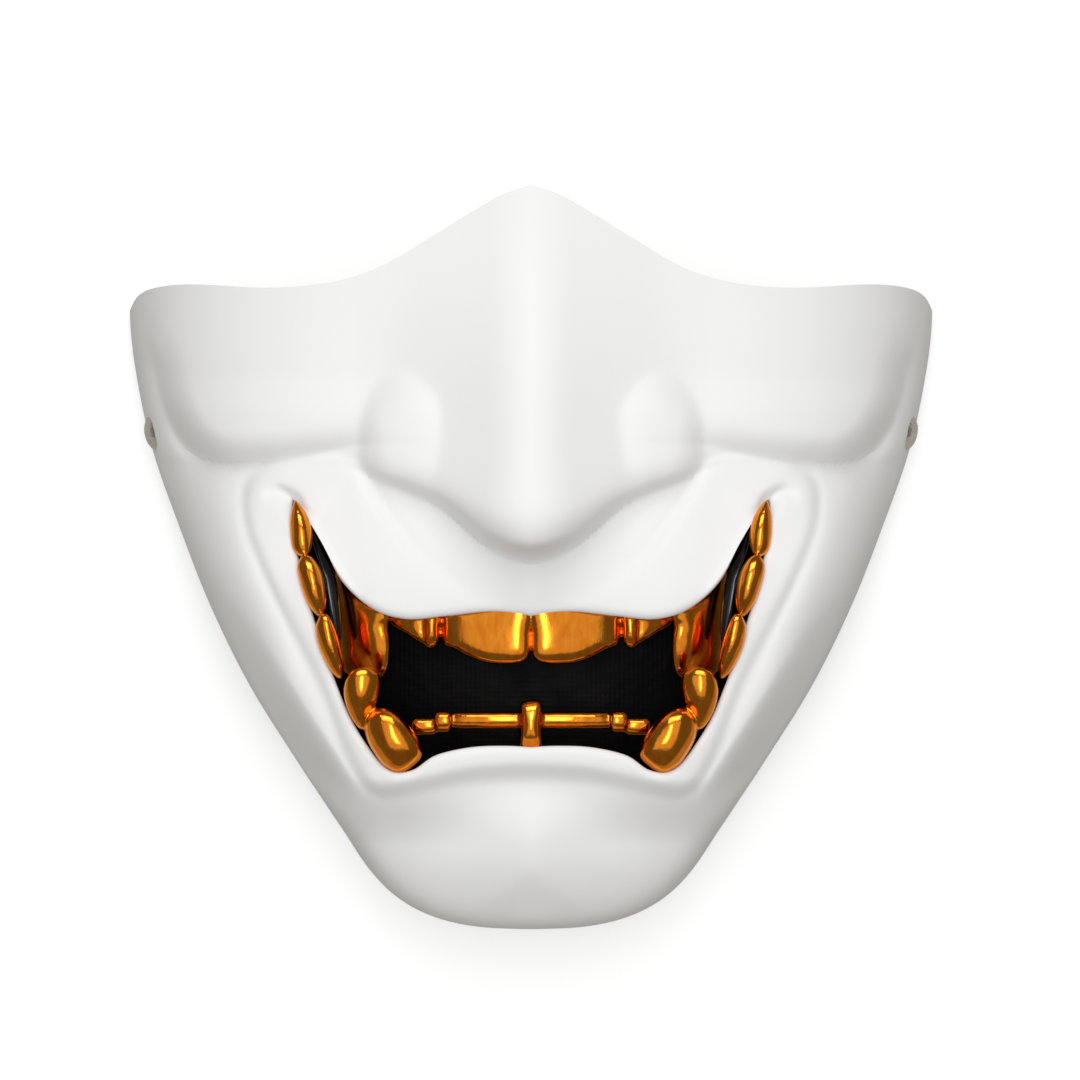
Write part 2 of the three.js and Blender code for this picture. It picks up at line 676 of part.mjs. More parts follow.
function rimPoints() {
  const points = [];
  const corner = faceY(RIM_TOP);
  for (let i = 0; i < RIM_SAMPLES; i += 1) {
    const x = HALF_WIDTH * (1 - (1 - i / RIM_SAMPLES) ** CORNER_CROWD) * JUST_INSIDE;
    const y = topEdgeAt(x);
    points.push(new THREE.Vector3(x, y, domeHeight(x, y)));
  }
  for (let i = 0; i <= RIM_SAMPLES; i += 1) {
    const y = mix(corner, CHIN_Y, i / RIM_SAMPLES);
    const share = heightShare(y);
    const down = clamp01((CHIN_ROUND_START - share) / CHIN_ROUND_START) ** CHIN_SQUARE;
    const x = halfWidthAt(y) * Math.max(0, 1 - down) ** (1 / squarenessAt(share));
    points.push(new THREE.Vector3(x, y, rimHeightAt(y)));
  }
  return points;
}

// One line of facets from the mouth's edge to the rim
const SPOKE_SAMPLES = 200;
const OUTLINE_CROWD = 3.5; // the samples lie closer towards the outline

function spoke(mouthPoint, rimPoint) {
  const line = [];
  for (let i = 0; i <= SPOKE_SAMPLES; i += 1) {
    const t = 1 - (1 - i / SPOKE_SAMPLES) ** OUTLINE_CROWD;
    const x = mix(mouthPoint.x, rimPoint.x, t);
    const y = mix(mouthPoint.y, rimPoint.y, t);
    const height = i === SPOKE_SAMPLES ? rimPoint.z : Math.max(domeHeight(x, y), rimPoint.z);
    line.push(new THREE.Vector3(x, y, height));
  }
  return line;
}

// Distance along a spoke at which it crosses the nose's foot, or 0 if it doesn't
const FOOT_END = HALF_NOSE * NOSE_FOOT[NOSE_FOOT.length - 1].across;

function footReach(line) {
  let reach = 0;
  for (let i = 1; i < line.length; i += 1) {
    reach += line[i].distanceTo(line[i - 1]);
    if (Math.abs(line[i].x) > FOOT_END) return 0;
    if (line[i].y >= noseFootAt(line[i].x)) return reach;
  }
  return 0;
}

// Grid of the front, [spoke][ring], of one side of the face. A point has its place on the plain
// dome, its distance from the mouth's edge and whether it lies on the rim.
const NEAR_MOUTH = [0, 0.36 * LIP_ROUND, LIP_ROUND, 2 * LIP_ROUND, SEAT_BAND];
const FOOT_RING = 9; // this ring follows the nose's foot
const REST_REACH = 0.5; // an end this little above the rim's height rests with the rim

function halfGrid() {
  const mouthLine = mouthCurve.map((p) => new THREE.Vector3(p.x, p.y, 0));
  const mouthShares = lengthShares(mouthLine);
  const rim = rimPoints();
  const rimShares = lengthShares(rim);
  const half = [];
  for (let i = 0; i <= SPOKES_PER_SIDE; i += 1) {
    const share = i / SPOKES_PER_SIDE;
    const start = pointAlong(mouthLine, mouthShares, tableValue(SPOKE_ENDS, "mouth", share, "share"));
    const end = pointAlong(rim, rimShares, tableValue(SPOKE_ENDS, "rim", share, "share"));
    const line = spoke(start, end);
    const shares = lengthShares(line);
    const length = line.reduce((sum, p, k) => (k ? sum + p.distanceTo(line[k - 1]) : 0), 0);
    const lastNear = NEAR_MOUTH.length - 1;
    const plain = (j) => mix(SEAT_BAND, length, (j - lastNear) / (RINGS - lastNear));
    const foot = footReach(line);
    const bendReach = foot > SEAT_BAND ? foot : plain(FOOT_RING);
    const row = [];
    for (let j = 0; j <= RINGS; j += 1) {
      let reach = NEAR_MOUTH[j];
      if (j > lastNear && j <= FOOT_RING) {
        reach = mix(SEAT_BAND, bendReach, (j - lastNear) / (FOOT_RING - lastNear));
      }
      if (j > FOOT_RING) reach = mix(bendReach, length, (j - FOOT_RING) / (RINGS - FOOT_RING));
      const place = pointAlong(line, shares, reach / length);
      const rests = j === RINGS && end.z <= rimHeightAt(end.y) + REST_REACH;
      row.push({ place, reach, onRim: j === RINGS, rests });
    }
    half.push(row);
  }
  return half;
}

// Turns one side of the face into the whole ring of spokes
function wholeRing(half) {
  const other = half.slice(1, -1).reverse();
  return [...half, ...other.map((row) => row.map((p) => new THREE.Vector3(-p.x, p.y, p.z)))];
}

const grid = halfGrid();

// Direction square to the plain dome at a point of the grid
function domeNormal(i, j) {
  const inner = grid[i][Math.max(0, j - 1)].place;
  const outer = grid[i][Math.min(RINGS, j + 1)].place;
  const before = grid[Math.max(0, i - 1)][j].place;
  const after = grid[Math.min(grid.length - 1, i + 1)][j].place;
  const out = new THREE.Vector3().subVectors(outer, inner);
  const round = new THREE.Vector3().subVectors(after, before);
  const normal = out.cross(round).normalize();
  if (i === 0 || i === grid.length - 1) normal.x = 0;
  return normal.z < 0 ? normal.negate() : normal;
}

// Height of a surface that lies a depth behind the front, square to it
const BALL_SHARES = [0.5, 0.85, 1];
const BALL_SIDES = 8;

function behindHeight(x, y, depth) {
  let height = frontHeight(x, y) - depth;
  for (const share of BALL_SHARES) {
    const drop = depth * Math.sqrt(1 - share * share);
    for (let k = 0; k < BALL_SIDES; k += 1) {
      const turn = (2 * Math.PI * k) / BALL_SIDES;
      const [dx, dy] = [depth * share * Math.cos(turn), depth * share * Math.sin(turn)];
      height = Math.min(height, frontHeight(x + dx, y + dy) - drop);
    }
  }
  return height;
}

const LIP_SPAN = 10; // distance from the mouth over which the back starts to lean with the dome

// Rows of points on a surface a depth behind the front; a depth of 0 is the front itself
function surfaceRows(depthAt) {
  return grid.map((row, i) =>
    row.map(({ place, reach, onRim, rests }, j) => {
      const depth = depthAt(reach);
      const edge = LIP_DROP * (1 - roll(reach / LIP_ROUND, 2));
      if (depth === 0) {
        const height = rests ? rimHeightAt(place.y) : frontHeight(place.x, place.y) - edge;
        return new THREE.Vector3(place.x, place.y, height);
      }
      const lean = onRim ? 1 : smooth(reach / LIP_SPAN);
      const moved = place.clone().addScaledVector(domeNormal(i, j), -depth * lean);
      moved.z = rests ? rimHeightAt(moved.y) : behindHeight(moved.x, moved.y, depth);
      return moved;
    }),
  );
}

// Wall thickness at a distance from the mouth's edge
const wallAt = (reach) => WALL + LIP_EXTRA * (1 - smooth(reach / LIP_EXTRA_REACH));

// A manifold solid from a three.js geometry, and back
const WELD = 1e-4; // points closer than this are one

function solidOf(geometry) {
  const bare = new THREE.BufferGeometry();
  bare.setAttribute("position", geometry.getAttribute("position"));
  bare.setIndex(geometry.getIndex());
  const merged = mergeVertices(bare, WELD);
  const make = (triangles) =>
    new wasm.Manifold(
      new wasm.Mesh({
        numProp: 3,
        vertProperties: new Float32Array(merged.getAttribute("position").array),
        triVerts: new Uint32Array(triangles),
      }),
    );
  const triangles = Array.from(merged.getIndex().array);
  const solid = make(triangles);
  return solid.volume() >= 0 ? solid : make(triangles.reverse());
}

function geometryOf(solid) {
  const mesh = solid.getMesh();
  const geometry = new THREE.BufferGeometry();
  geometry.setAttribute("position", new THREE.BufferAttribute(new Float32Array(mesh.vertProperties), 3));
  geometry.setIndex(new THREE.BufferAttribute(new Uint32Array(mesh.triVerts), 1));
  return geometry;
}

// Points rounded to a fine lattice, joined where they meet, without the facets that vanish
const LATTICE = 1 / 512;

function tidied(geometry) {
  const position = geometry.getAttribute("position");
  const places = new Map();
  const kept = [];
  const renamed = [];
  for (let i = 0; i < position.count; i += 1) {
    const place = new THREE.Vector3().fromBufferAttribute(position, i);
    const cell = place.divideScalar(LATTICE).round();
    const key = `${cell.x},${cell.y},${cell.z}`;
    if (!places.has(key)) {
      places.set(key, places.size);
      kept.push(cell.x * LATTICE, cell.y * LATTICE, cell.z * LATTICE);
    }
    renamed.push(places.get(key));
  }
  const index = geometry.getIndex().array;
  const faces = [];
  for (let i = 0; i < index.length; i += 3) {
    const [a, b, c] = [renamed[index[i]], renamed[index[i + 1]], renamed[index[i + 2]]];
    if (a !== b && b !== c && c !== a) faces.push(a, b, c);
  }
  const clean = new THREE.BufferGeometry();
  clean.setAttribute("position", new THREE.Float32BufferAttribute(kept, 3));
  clean.setIndex(faces);
  return clean;
}

const largestBody = (solid) => solid.decompose().reduce((a, b) => (b.volume() > a.volume() ? b : a));

// A closed solid between a front and a back grid of points, both [row][column]. The rows join end
// to end if round is true. Facets are split the way that is shortest on the guide's grid, so that
// sheets with the same guide stay an even distance apart.
const LIKE_LENGTH = 1e-6; // diagonals that differ by less are the same

function sheetSolid(front, back, round, guide) {
  const rows = front.length;
  const columns = front[0].length;
  const points = [...front.flat(), ...back.flat()];
  const guides = [...guide.flat(), ...guide.flat()];
  const frontAt = (i, j) => (i % rows) * columns + j;
  const backAt = (i, j) => rows * columns + frontAt(i, j);
  const faces = [];
  const quad = (a, b, c, d) => {
    const along = guides[a].distanceTo(guides[c]) - LIKE_LENGTH;
    if (along <= guides[b].distanceTo(guides[d])) faces.push(a, b, c, a, c, d);
    else faces.push(a, b, d, b, c, d);
  };
  const lastRow = round ? rows : rows - 1;
  const end = columns - 1;
  for (let i = 0; i < lastRow; i += 1) {
    for (let j = 0; j < end; j += 1) {
      quad(frontAt(i, j), frontAt(i, j + 1), frontAt(i + 1, j + 1), frontAt(i + 1, j));
      quad(backAt(i, j), backAt(i + 1, j), backAt(i + 1, j + 1), backAt(i, j + 1));
    }
    quad(frontAt(i, 0), frontAt(i + 1, 0), backAt(i + 1, 0), backAt(i, 0));
    quad(frontAt(i, end), backAt(i, end), backAt(i + 1, end), frontAt(i + 1, end));
  }
  if (!round) {
    for (let j = 0; j < end; j += 1) {
      quad(frontAt(0, j), backAt(0, j), backAt(0, j + 1), frontAt(0, j + 1));
      quad(frontAt(lastRow, j), frontAt(lastRow, j + 1), backAt(lastRow, j + 1), backAt(lastRow, j));
    }
  }
  const geometry = new THREE.BufferGeometry();
  geometry.setAttribute("position", new THREE.Float32BufferAttribute(points.flatMap((p) => p.toArray()), 3));
  geometry.setIndex(faces);
  return solidOf(geometry);
}

const front = surfaceRows(() => 0);
const back = surfaceRows(wallAt);
const guide = wholeRing(front);
const plainShell = sheetSolid(guide, wholeRing(back), true, guide);

// Everything that the teeth must stay out of: the shell and the space in front of it, with the
// clearance behind the wall and inside the mouth's edge
const CUTTER_HEIGHT = 30;

function teethCutter() {
  const low = surfaceRows((reach) => wallAt(reach) + CLEARANCE);
  for (const row of low) {
    const inward = new THREE.Vector3().subVectors(row[0], row[1]).setZ(0).normalize();
    row[0].addScaledVector(inward, CLEARANCE);
  }
  const high = low.map((row) => row.map((p) => p.clone().setZ(p.z + CUTTER_HEIGHT)));
  return sheetSolid(wholeRing(high), wholeRing(low), true, guide);
}

// Glued band of a row of teeth, behind the lip between two lines of facets. It ends at those lines.
const BAND_INSIDE = 3.2; // how far the band reaches into the mouth

const BAND_SLACK = 0.2;
const SCREEN_SLACK = 0.3;

function seatBand(firstSpoke, lastSpoke) {
  const bandRows = (extra) => {
    const rows = surfaceRows((reach) => wallAt(reach) + CLEARANCE + BAND_SLACK + extra);
    for (const row of rows) {
      const inward = new THREE.Vector3().subVectors(row[0], row[1]).setZ(0).normalize();
      row[0].addScaledVector(inward, BAND_INSIDE);
    }
    return rows.map((row) => row.slice(0, NEAR_MOUTH.length));
  };
  const pick = (rows) => {
    const whole = wholeRing(rows);
    const part = [];
    for (let i = firstSpoke; i <= lastSpoke; i += 1) part.push(whole[(i + whole.length) % whole.length]);
    return part;
  };
  const guideRows = pick(front.map((row) => row.slice(0, NEAR_MOUTH.length)));
  return sheetSolid(pick(bandRows(0)), pick(bandRows(SEAT_THICKNESS)), false, guideRows);
}

// A tooth: a cushion on its outline, which follows the face at its own depth
function toothSolid(row, side) {
  const corners = [...row.outline, row.outline[0]].map(([across, down]) => ({ across, down }));
  const placed = finePoints(corners, TOOTH_SIDES).map(byMouth);
  const points = placed.map((p) => new THREE.Vector3(p.x, p.y, 0));
  const total = points.slice(1).reduce((sum, p) => sum.add(p), new THREE.Vector3());
  const middle = total.divideScalar(points.length - 1);
  const shares = lengthShares(points);
  const geometry = new THREE.SphereGeometry(1, TOOTH_SIDES, TOOTH_RINGS).rotateX(Math.PI / 2);
  const position = geometry.getAttribute("position");
  for (let i = 0; i < position.count; i += 1) {
    const p = new THREE.Vector3().fromBufferAttribute(position, i);
    const turn = Math.atan2(p.y, p.x) / (2 * Math.PI);
    const out = Math.min(1, Math.hypot(p.x, p.y)) ** (2 / row.square);
    const place = middle.clone().lerp(pointAlong(points, shares, (turn + 1) % 1), out);
    const half = p.z > 0 ? row.bulge * TOOTH_DEPTH : TOOTH_BACK;
    const rise = Math.sign(p.z) * Math.abs(p.z) ** (2 / row.square) * half;
    const tilt = row.tipped * (place.y - middle.y) - row.turned * (place.x - middle.x);
    const foot = domeHeight(place.x, place.y) + LIP_RISE - row.behind * TOOTH_DEPTH;
    position.setXYZ(i, place.x * side, place.y, foot + rise + tilt);
  }
  return solidOf(geometry);
}

function teethRow(rows, band, cutter) {
  let solid = band;
  for (const row of rows) {
    const sides = row.outline[0][0] < 0 ? [1] : [1, -1];
    for (const side of sides) solid = solid.add(toothSolid(row, side));
  }
  return largestBody(solid.subtract(cutter));
}

const UPPER_BAND_END = 0.3; // shares of the spokes of one side at which the bands end
const LOWER_BAND_START = 0.57;
const upperEnd = Math.round(UPPER_BAND_END * SPOKES_PER_SIDE);
const lowerStart = Math.round(LOWER_BAND_START * SPOKES_PER_SIDE);
const cutter = teethCutter();
const upperTeeth = teethRow(UPPER_TEETH, seatBand(-upperEnd, upperEnd), cutter);
const lowerBand = seatBand(lowerStart, 2 * SPOKES_PER_SIDE - lowerStart);
const lowerTeeth = teethRow(LOWER_TEETH, lowerBand, cutter);

// The dark screen: a sheet behind both rows of teeth
const SCREEN_COLUMNS = 16;
const SCREEN_ROWS = 11;
const SCREEN_TOP = -0.1; // in the mouth's shares down from its corners
const SCREEN_BOTTOM = 1.06;
const SCREEN_WIDTHS = [
  { down: -0.1, half: 1.1 },
  { down: 0.2, half: 1.06 },
  { down: 0.6, half: 0.92 },
  { down: 0.9, half: 0.76 },
  { down: 1.06, half: 0.62 },
];
const SEAT_STACK = WALL + LIP_EXTRA + SEAT_THICKNESS + 2 * CLEARANCE + SCREEN_SLACK;

function screenRows(extra) {
  const rows = [];
  for (let i = 0; i <= SCREEN_ROWS; i += 1) {
    const down = mix(SCREEN_TOP, SCREEN_BOTTOM, i / SCREEN_ROWS);
    const half = mouthX(tableValue(SCREEN_WIDTHS, "half", down, "down"));
    const row = [];
    for (let j = 0; j <= SCREEN_COLUMNS; j += 1) {
      const across = (2 * j) / SCREEN_COLUMNS - 1;
      const x = half * across;
      const y = mouthY(down);
      const deep = middleDepth(y) - SCREEN_DEPTH - SCREEN_CURVE * across * across;
      const seat = domeHeight(x, y) - SEAT_STACK;
      row.push(new THREE.Vector3(x, y, -softMax(-deep, -seat, SCREEN_FILLET) - extra));
    }
    rows.push(row);
  }
  return rows;
}

const screen = sheetSolid(screenRows(0), screenRows(SCREEN_THICKNESS), false, screenRows(0));

// Strap stud: a low domed cap with a small flat top, a shank through the wall and a washer inside
const STUD_FLAT_RADIUS = 1.6;
const STUD_SIDES = 18;
const STUD_CAP_STEPS = 5;
const STUD_CAP_EDGE = 0.4; // upright part of the cap
const STUD_HOLE_LENGTH = 8 * WALL;
const SLOPE_REACH = { across: 0.5, up: 2 }; // the wall's slope is taken over this much on each side

function studProfile() {
  const washerTop = -WALL - CLEARANCE;
  const cap = [];
  for (let i = 0; i <= STUD_CAP_STEPS; i += 1) {
    const t = i / STUD_CAP_STEPS;
    const radius = mix(STUD_CAP_RADIUS, STUD_FLAT_RADIUS, t);
    const height = mix(STUD_CAP_EDGE, STUD_CAP_HEIGHT, Math.sin((Math.PI / 2) * t));
    cap.push([radius, CLEARANCE + height]);
  }
  const points = [
    [0, washerTop - STUD_WASHER_THICKNESS],
    [STUD_WASHER_RADIUS, washerTop - STUD_WASHER_THICKNESS],
    [STUD_WASHER_RADIUS, washerTop],
    [STUD_SHANK_RADIUS, washerTop],
    [STUD_SHANK_RADIUS, CLEARANCE],
    [STUD_CAP_RADIUS, CLEARANCE],
    ...cap,
    [0, CLEARANCE + STUD_CAP_HEIGHT],
  ];
  return points.map(([radius, height]) => new THREE.Vector2(radius, height));
}

// Place and direction of the stud on one side of the face
function studMatrix(side) {
  const y = CHIN_Y + STUD_HEIGHT;
  const half = halfWidthAt(y);
  const x = half * (1 - STUD_DEPTH ** DOME_ROUND) ** (1 / DOME_ROUND);
  const { across, up } = SLOPE_REACH;
  const slopeX = (frontHeight(x + across, y) - frontHeight(x - across, y)) / (2 * across);
  const slopeY = (frontHeight(x, y + up) - frontHeight(x, y - up)) / (2 * up);
  const normal = new THREE.Vector3(-slopeX * side, -slopeY, 1).normalize();
  const turn = new THREE.Quaternion().setFromUnitVectors(new THREE.Vector3(0, 1, 0), normal);
  const place = new THREE.Vector3(x * side, y, frontHeight(x, y));
  return new THREE.Matrix4().compose(place, turn, new THREE.Vector3(1, 1, 1));
}

function studSolid(side) {
  const geometry = new THREE.LatheGeometry(studProfile(), STUD_SIDES);
  return solidOf(geometry.applyMatrix4(studMatrix(side)));
}

function studHole(side) {
  const radius = STUD_SHANK_RADIUS + CLEARANCE;
  const geometry = new THREE.CylinderGeometry(radius, radius, STUD_HOLE_LENGTH, STUD_SIDES);
  return solidOf(geometry.applyMatrix4(studMatrix(side)));
}

const shell = plainShell.subtract(studHole(1)).subtract(studHole(-1));

function material(color, roughness, metalness) {
  return new THREE.MeshStandardMaterial({ color, roughness, metalness });
}

const white = material(0xe9e9e6, 0.5, 0);
const upperGold = material(0xd67a12, 0.18, 1);
const lowerGold = material(0xd67a12, 0.18, 1);
const black = material(0x08080a, 0.6, 0);
const steel = material(0xcfc8c4, 0.25, 1);

// Turned back by the rim's tilt and stood on the surface
const mask = new THREE.Group();

function stood(solid) {
  return geometryOf(solid).rotateX(TILT).translate(0, 0, -faceY(RIM_TOP) * Math.sin(TILT));
}

const shellBox = new THREE.Box3().setFromBufferAttribute(stood(shell).getAttribute("position"));
const middleY = Math.round(shellBox.getCenter(new THREE.Vector3()).y / LATTICE) * LATTICE;

function addPiece(name, solid, finish, wasCut) {
  const placed = stood(solid).translate(0, -middleY, 0);
  const geometry = wasCut ? tidied(placed) : placed;
  geometry.computeVertexNormals();
  const piece = new THREE.Mesh(geometry, finish);
  piece.name = name;
  mask.add(piece);
}

addPiece("mask_shell", shell, white, true);
addPiece("upper_teeth", upperTeeth, upperGold, true);
addPiece("lower_teeth", lowerTeeth, lowerGold, true);
addPiece("mouth_screen", screen, black, false);
addPiece("strap_stud_left", studSolid(1), steel, false);
addPiece("strap_stud_right", studSolid(-1), steel.clone(), false);

export default mask;
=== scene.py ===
# A half-face guard in the samurai style, lying on its rim: white moulded shell, gold plated teeth,
# black mouth screen and a metal strap stud on each side.
import math

import bpy
import numpy as np
from mathutils import Matrix


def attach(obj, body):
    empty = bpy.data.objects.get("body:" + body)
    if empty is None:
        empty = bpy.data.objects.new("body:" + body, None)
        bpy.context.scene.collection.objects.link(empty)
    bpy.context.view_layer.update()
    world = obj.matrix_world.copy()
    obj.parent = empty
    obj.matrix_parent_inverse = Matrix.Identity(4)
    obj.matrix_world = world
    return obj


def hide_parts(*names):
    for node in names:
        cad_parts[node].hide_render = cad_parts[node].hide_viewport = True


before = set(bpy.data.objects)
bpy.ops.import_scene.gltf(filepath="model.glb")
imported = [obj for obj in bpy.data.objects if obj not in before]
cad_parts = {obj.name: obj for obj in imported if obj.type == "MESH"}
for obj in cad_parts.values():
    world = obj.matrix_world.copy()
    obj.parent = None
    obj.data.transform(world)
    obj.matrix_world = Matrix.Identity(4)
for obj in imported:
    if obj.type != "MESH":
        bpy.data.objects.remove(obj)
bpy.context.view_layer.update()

MM = 0.001

# Sizes of the mask, in millimetres, in the face's own frame: X to the wearer's left, Y up the
# face, Z out of it
MASK_WIDTH = 190.0
MASK_HEIGHT = 175.0
FACE_DEPTH = 80.0
RIM_TILT = math.radians(13)
RIM_RISE = 3.5
WALL = 2.6
LIP_EXTRA = 1.6
LIP_EXTRA_REACH = 7.0
CLEARANCE = 0.35

NOSE_WIDTH = 79.0
NOSE_LENGTH = 88.0
NOSE_RISE = 22.0
BRIDGE_RISE = 8.0
TIP_ROUND = 16.0  # length over which the tip rolls under
TIP_WALL = 0.5  # share of the tip's height that falls as a wall
TIP_WALL_WIDTH = 4.0
RIDGE_HALF = 4.2  # half the level top of the ridge
WING_RISE = 6.8

CHEEK_RISE = 6.6  # cheek pad above its groove
CHEEK_ROUND = 8.0
GROOVE_ROUND = 2.6  # length over which the groove rises again below the pad
MUZZLE_RISE = 1.6
LOWER_LIP_RISE = 3.4
LIP_ROUND = 2.2
LIP_DROP = 1.5
JOWL_RISE = 1.6
CHIN_RIDGE = 15.0
CHIN_CREST_ROUND = 2.5
CHIN_FOOT_DROP = 1.6
RING_GROOVE_DEPTH = 0.7
RING_GROOVE_WIDTH = 1.5
FOLD_DEPTH = 2.6
FOLD_INNER_WIDTH = 1.1
FOLD_OUTER_WIDTH = 2.8
PHILTRUM_RISE = 1.1
PHILTRUM_WIDTH = 5
JAW_FILLET = 7.0

MOUTH_WIDTH = 112.0
MOUTH_HEIGHT = 64.0
MOUTH_CORNER_HEIGHT = 101.0
SEAT_BAND = 7.0
LIP_RISE = 2.2
TOOTH_BACK = 2.5
SEAT_THICKNESS = 1.8

HALF_WIDTH = MASK_WIDTH / 2
CHIN_Y = -MASK_HEIGHT / 2
MOUTH_Y = CHIN_Y + MOUTH_CORNER_HEIGHT
HALF_MOUTH = MOUTH_WIDTH / 2
HALF_NOSE = NOSE_WIDTH / 2
NOSE_FOOT_Y = CHIN_Y + MASK_HEIGHT - NOSE_LENGTH

# Half width of the face at each height
OUTLINE = [(0.0, 0.345), (0.113, 0.447), (0.166, 0.508), (0.22, 0.574), (0.327, 0.698), (0.434, 0.796),
           (0.542, 0.875), (0.649, 0.944), (0.756, 0.986), (0.83, 1.0), (1.0, 1.0)]
# Upper edge: distance from the middle, height
TOP_EDGE = [(0.0, 1.0), (0.06, 0.99), (0.126, 0.971), (0.249, 0.93), (0.373, 0.891), (0.496, 0.87),
            (0.65, 0.863), (0.85, 0.868), (0.94, 0.863), (0.98, 0.852), (1.0, 0.834)]
# Depth of the face down its middle
PROFILE = [(0.0, 0.77), (0.05, 0.855), (0.1, 0.905), (0.2, 0.94), (0.27, 0.955), (0.44, 0.975),
           (0.55, 0.94), (0.7, 0.89), (0.85, 0.85), (1.0, 0.82)]
# Mouth opening: across and down, from the middle of the upper lip to the middle of the lower lip
MOUTH = [(0.0, 0.425), (0.16, 0.408), (0.36, 0.425), (0.52, 0.436), (0.66, 0.4), (0.79, 0.3), (0.87, 0.165),
         (0.94, 0.05), (0.992, 0.0), (1.0, 0.07), (0.965, 0.25), (0.91, 0.43), (0.85, 0.59), (0.775, 0.76),
         (0.7, 0.88), (0.6, 0.985), (0.5, 0.99), (0.4, 0.935), (0.25, 0.905), (0.1, 0.9), (0.0, 0.905)]
# Raised ring round the mouth: across, down, rise, width of its step
RING = [(0.0, 1.0, 1.0, 5.0), (0.26, 1.015, 1.0, 4.8), (0.5, 1.06, 0.9, 4.2), (0.62, 1.075, 0.8, 3.4),
        (0.7, 1.03, 0.7, 2.8), (0.78, 0.9, 0.66, 2.4), (0.88, 0.68, 0.66, 2.4), (1.01, 0.45, 0.66, 2.4),
        (1.12, 0.25, 0.66, 2.4), (1.19, 0.08, 0.66, 2.4), (1.19, -0.06, 0.62, 2.4), (1.1, -0.13, 0.58, 2.0),
        (0.96, -0.152, 0.56, 1.6), (0.8, -0.158, 0.56, 1.5), (0.72, -0.125, 0.52, 1.5),
        (0.665, -0.03, 0.45, 1.6), (0.58, 0.08, 0.4, 1.8), (0.47, 0.2, 0.34, 2.0), (0.34, 0.29, 0.26, 2.6),
        (0.18, 0.37, 0.14, 3.4), (0.0, 0.41, 0.06, 4.0)]
# Groove beside and under the cheek pad: side, height, depth
CHEEK_GROOVE = [(0.985, 0.9, 0.1), (0.96, 0.8, 0.2), (0.935, 0.755, 0.7), (0.918, 0.715, 0.95),
                (0.885, 0.67, 1.6), (0.835, 0.64, 1.8), (0.76, 0.627, 1.2), (0.66, 0.631, 0.85),
                (0.56, 0.638, 0.72), (0.46, 0.648, 0.5), (0.36, 0.655, 0.25)]
# Underside of the nose: across, up
NOSE_FOOT = [(0.0, -0.007), (0.12, 0.005), (0.28, 0.047), (0.52, 0.138), (0.74, 0.183),
             (0.9, 0.208), (1.1, 0.255)]
# Fold that runs outwards from the mouth's corner: across, down
CORNER_FOLD = [(0.985, 0.0), (1.05, -0.035), (1.13, -0.02)]
# Height of the jaw's side above the rim, before its facet starts: height, wall in millimetres
JAW_WALL = [(0.14, 14.0), (0.27, 18.0), (0.39, 25.0), (0.5, 37.0), (0.66, 46.0)]
# How full the front stays towards the outline: height, power
EDGE_FULL = [(0.0, 4.0), (0.1, 4.0), (0.2, 3.0), (0.35, 2.6), (0.48, 2.4), (0.6, 1.5), (0.7, 1.25),
             (1.0, 1.25)]
# Lines of the shell from the mouth to the rim: share of the lines, place on the mouth, on the rim
LINE_ENDS = [(0.0, 0.0, 0.0), (0.12, 0.13, 0.1), (0.24, 0.27, 0.2), (0.36, 0.365, 0.36),
             (0.46, 0.415, 0.485), (0.6, 0.53, 0.62), (0.76, 0.7, 0.78), (0.88, 0.83, 0.905),
             (1.0, 1.0, 1.0)]

CHIN_ROUND_START = 0.245
CHIN_SQUARE = 6
DOME_ROUND = 2.3
JAW_SQUARE = 2.7
RIM_TOP = 0.834
RIM_LIFT_LOW, RIM_LIFT_HIGH = 0.08, 0.66
SQUARE_FADE_START, SQUARE_FADE_SPAN = 0.25, 0.4
FORM_FADE = 2.2  # the forms fade out towards the outline
JAW_SLOPE = 3.2
# Heights between which the jaw has its facet, and over how much of the height it fades at each end
JAW_LOW, JAW_LOW_FADE = 0.14, 0.08
JAW_HIGH, JAW_HIGH_FADE = 0.66, 0.14
JAW_EDGE_FADE = 6

# The nose, in shares of half its width across and of its length upwards
NOSE_RISE_START, NOSE_RISE_SPAN = 0.12, 1.05
RIDGE_WIDER, RIDGE_WIDER_START, RIDGE_WIDER_SPAN = 0.5, 0.05, 0.3
RIDGE_FILLET = 0.13
ROOF_HALF_AT_TIP, ROOF_HALF_AT_BRIDGE = 0.95, 1.15
ROOF_HOLLOW_AT_TIP, ROOF_HOLLOW_AT_BRIDGE = 1.25, 1.7
WING_ACROSS, WING_UP = 0.765, 0.325
WING_HALF_WIDTH, WING_HALF_HEIGHT = 0.262, 0.19
WING_LEAN = 0.12  # it moves outwards by this towards its foot
WING_LEVEL = 3.4  # 2 a dome, more a level top
WING_TILT, WING_TILT_START, WING_TILT_SPAN = 0.4, 0.32, 0.16
WING_MERGE_LOW, WING_MERGE_HIGH = 0.22, 0.09  # fillet between wing and roof
WING_MERGE_START, WING_MERGE_SPAN = 0.38, 0.12
SIDE_ROLL, SIDE_ROLL_END = 0.6, 0.5  # the roll is this much shorter at the wings
SIDE_WALL, SIDE_WALL_END = 0.55, 0.4  # and the wall this much narrower
TIP_ROLL_POWER = 3

# The cheek pad, in shares of half the width across
PAD_POWER = 2.2
GROOVE_BANK = 0.45  # how far the groove rises again below the pad
CHEEK_START, CHEEK_SPAN = 0.2, 0.3

# The ring round the mouth
LOWER_LIP_FROM = 0.7  # rise above which the ring is the lower lip
MUZZLE_FROM = 0.66  # rise at which the muzzle has its full height
GROOVE_FULL_FROM = 0.5

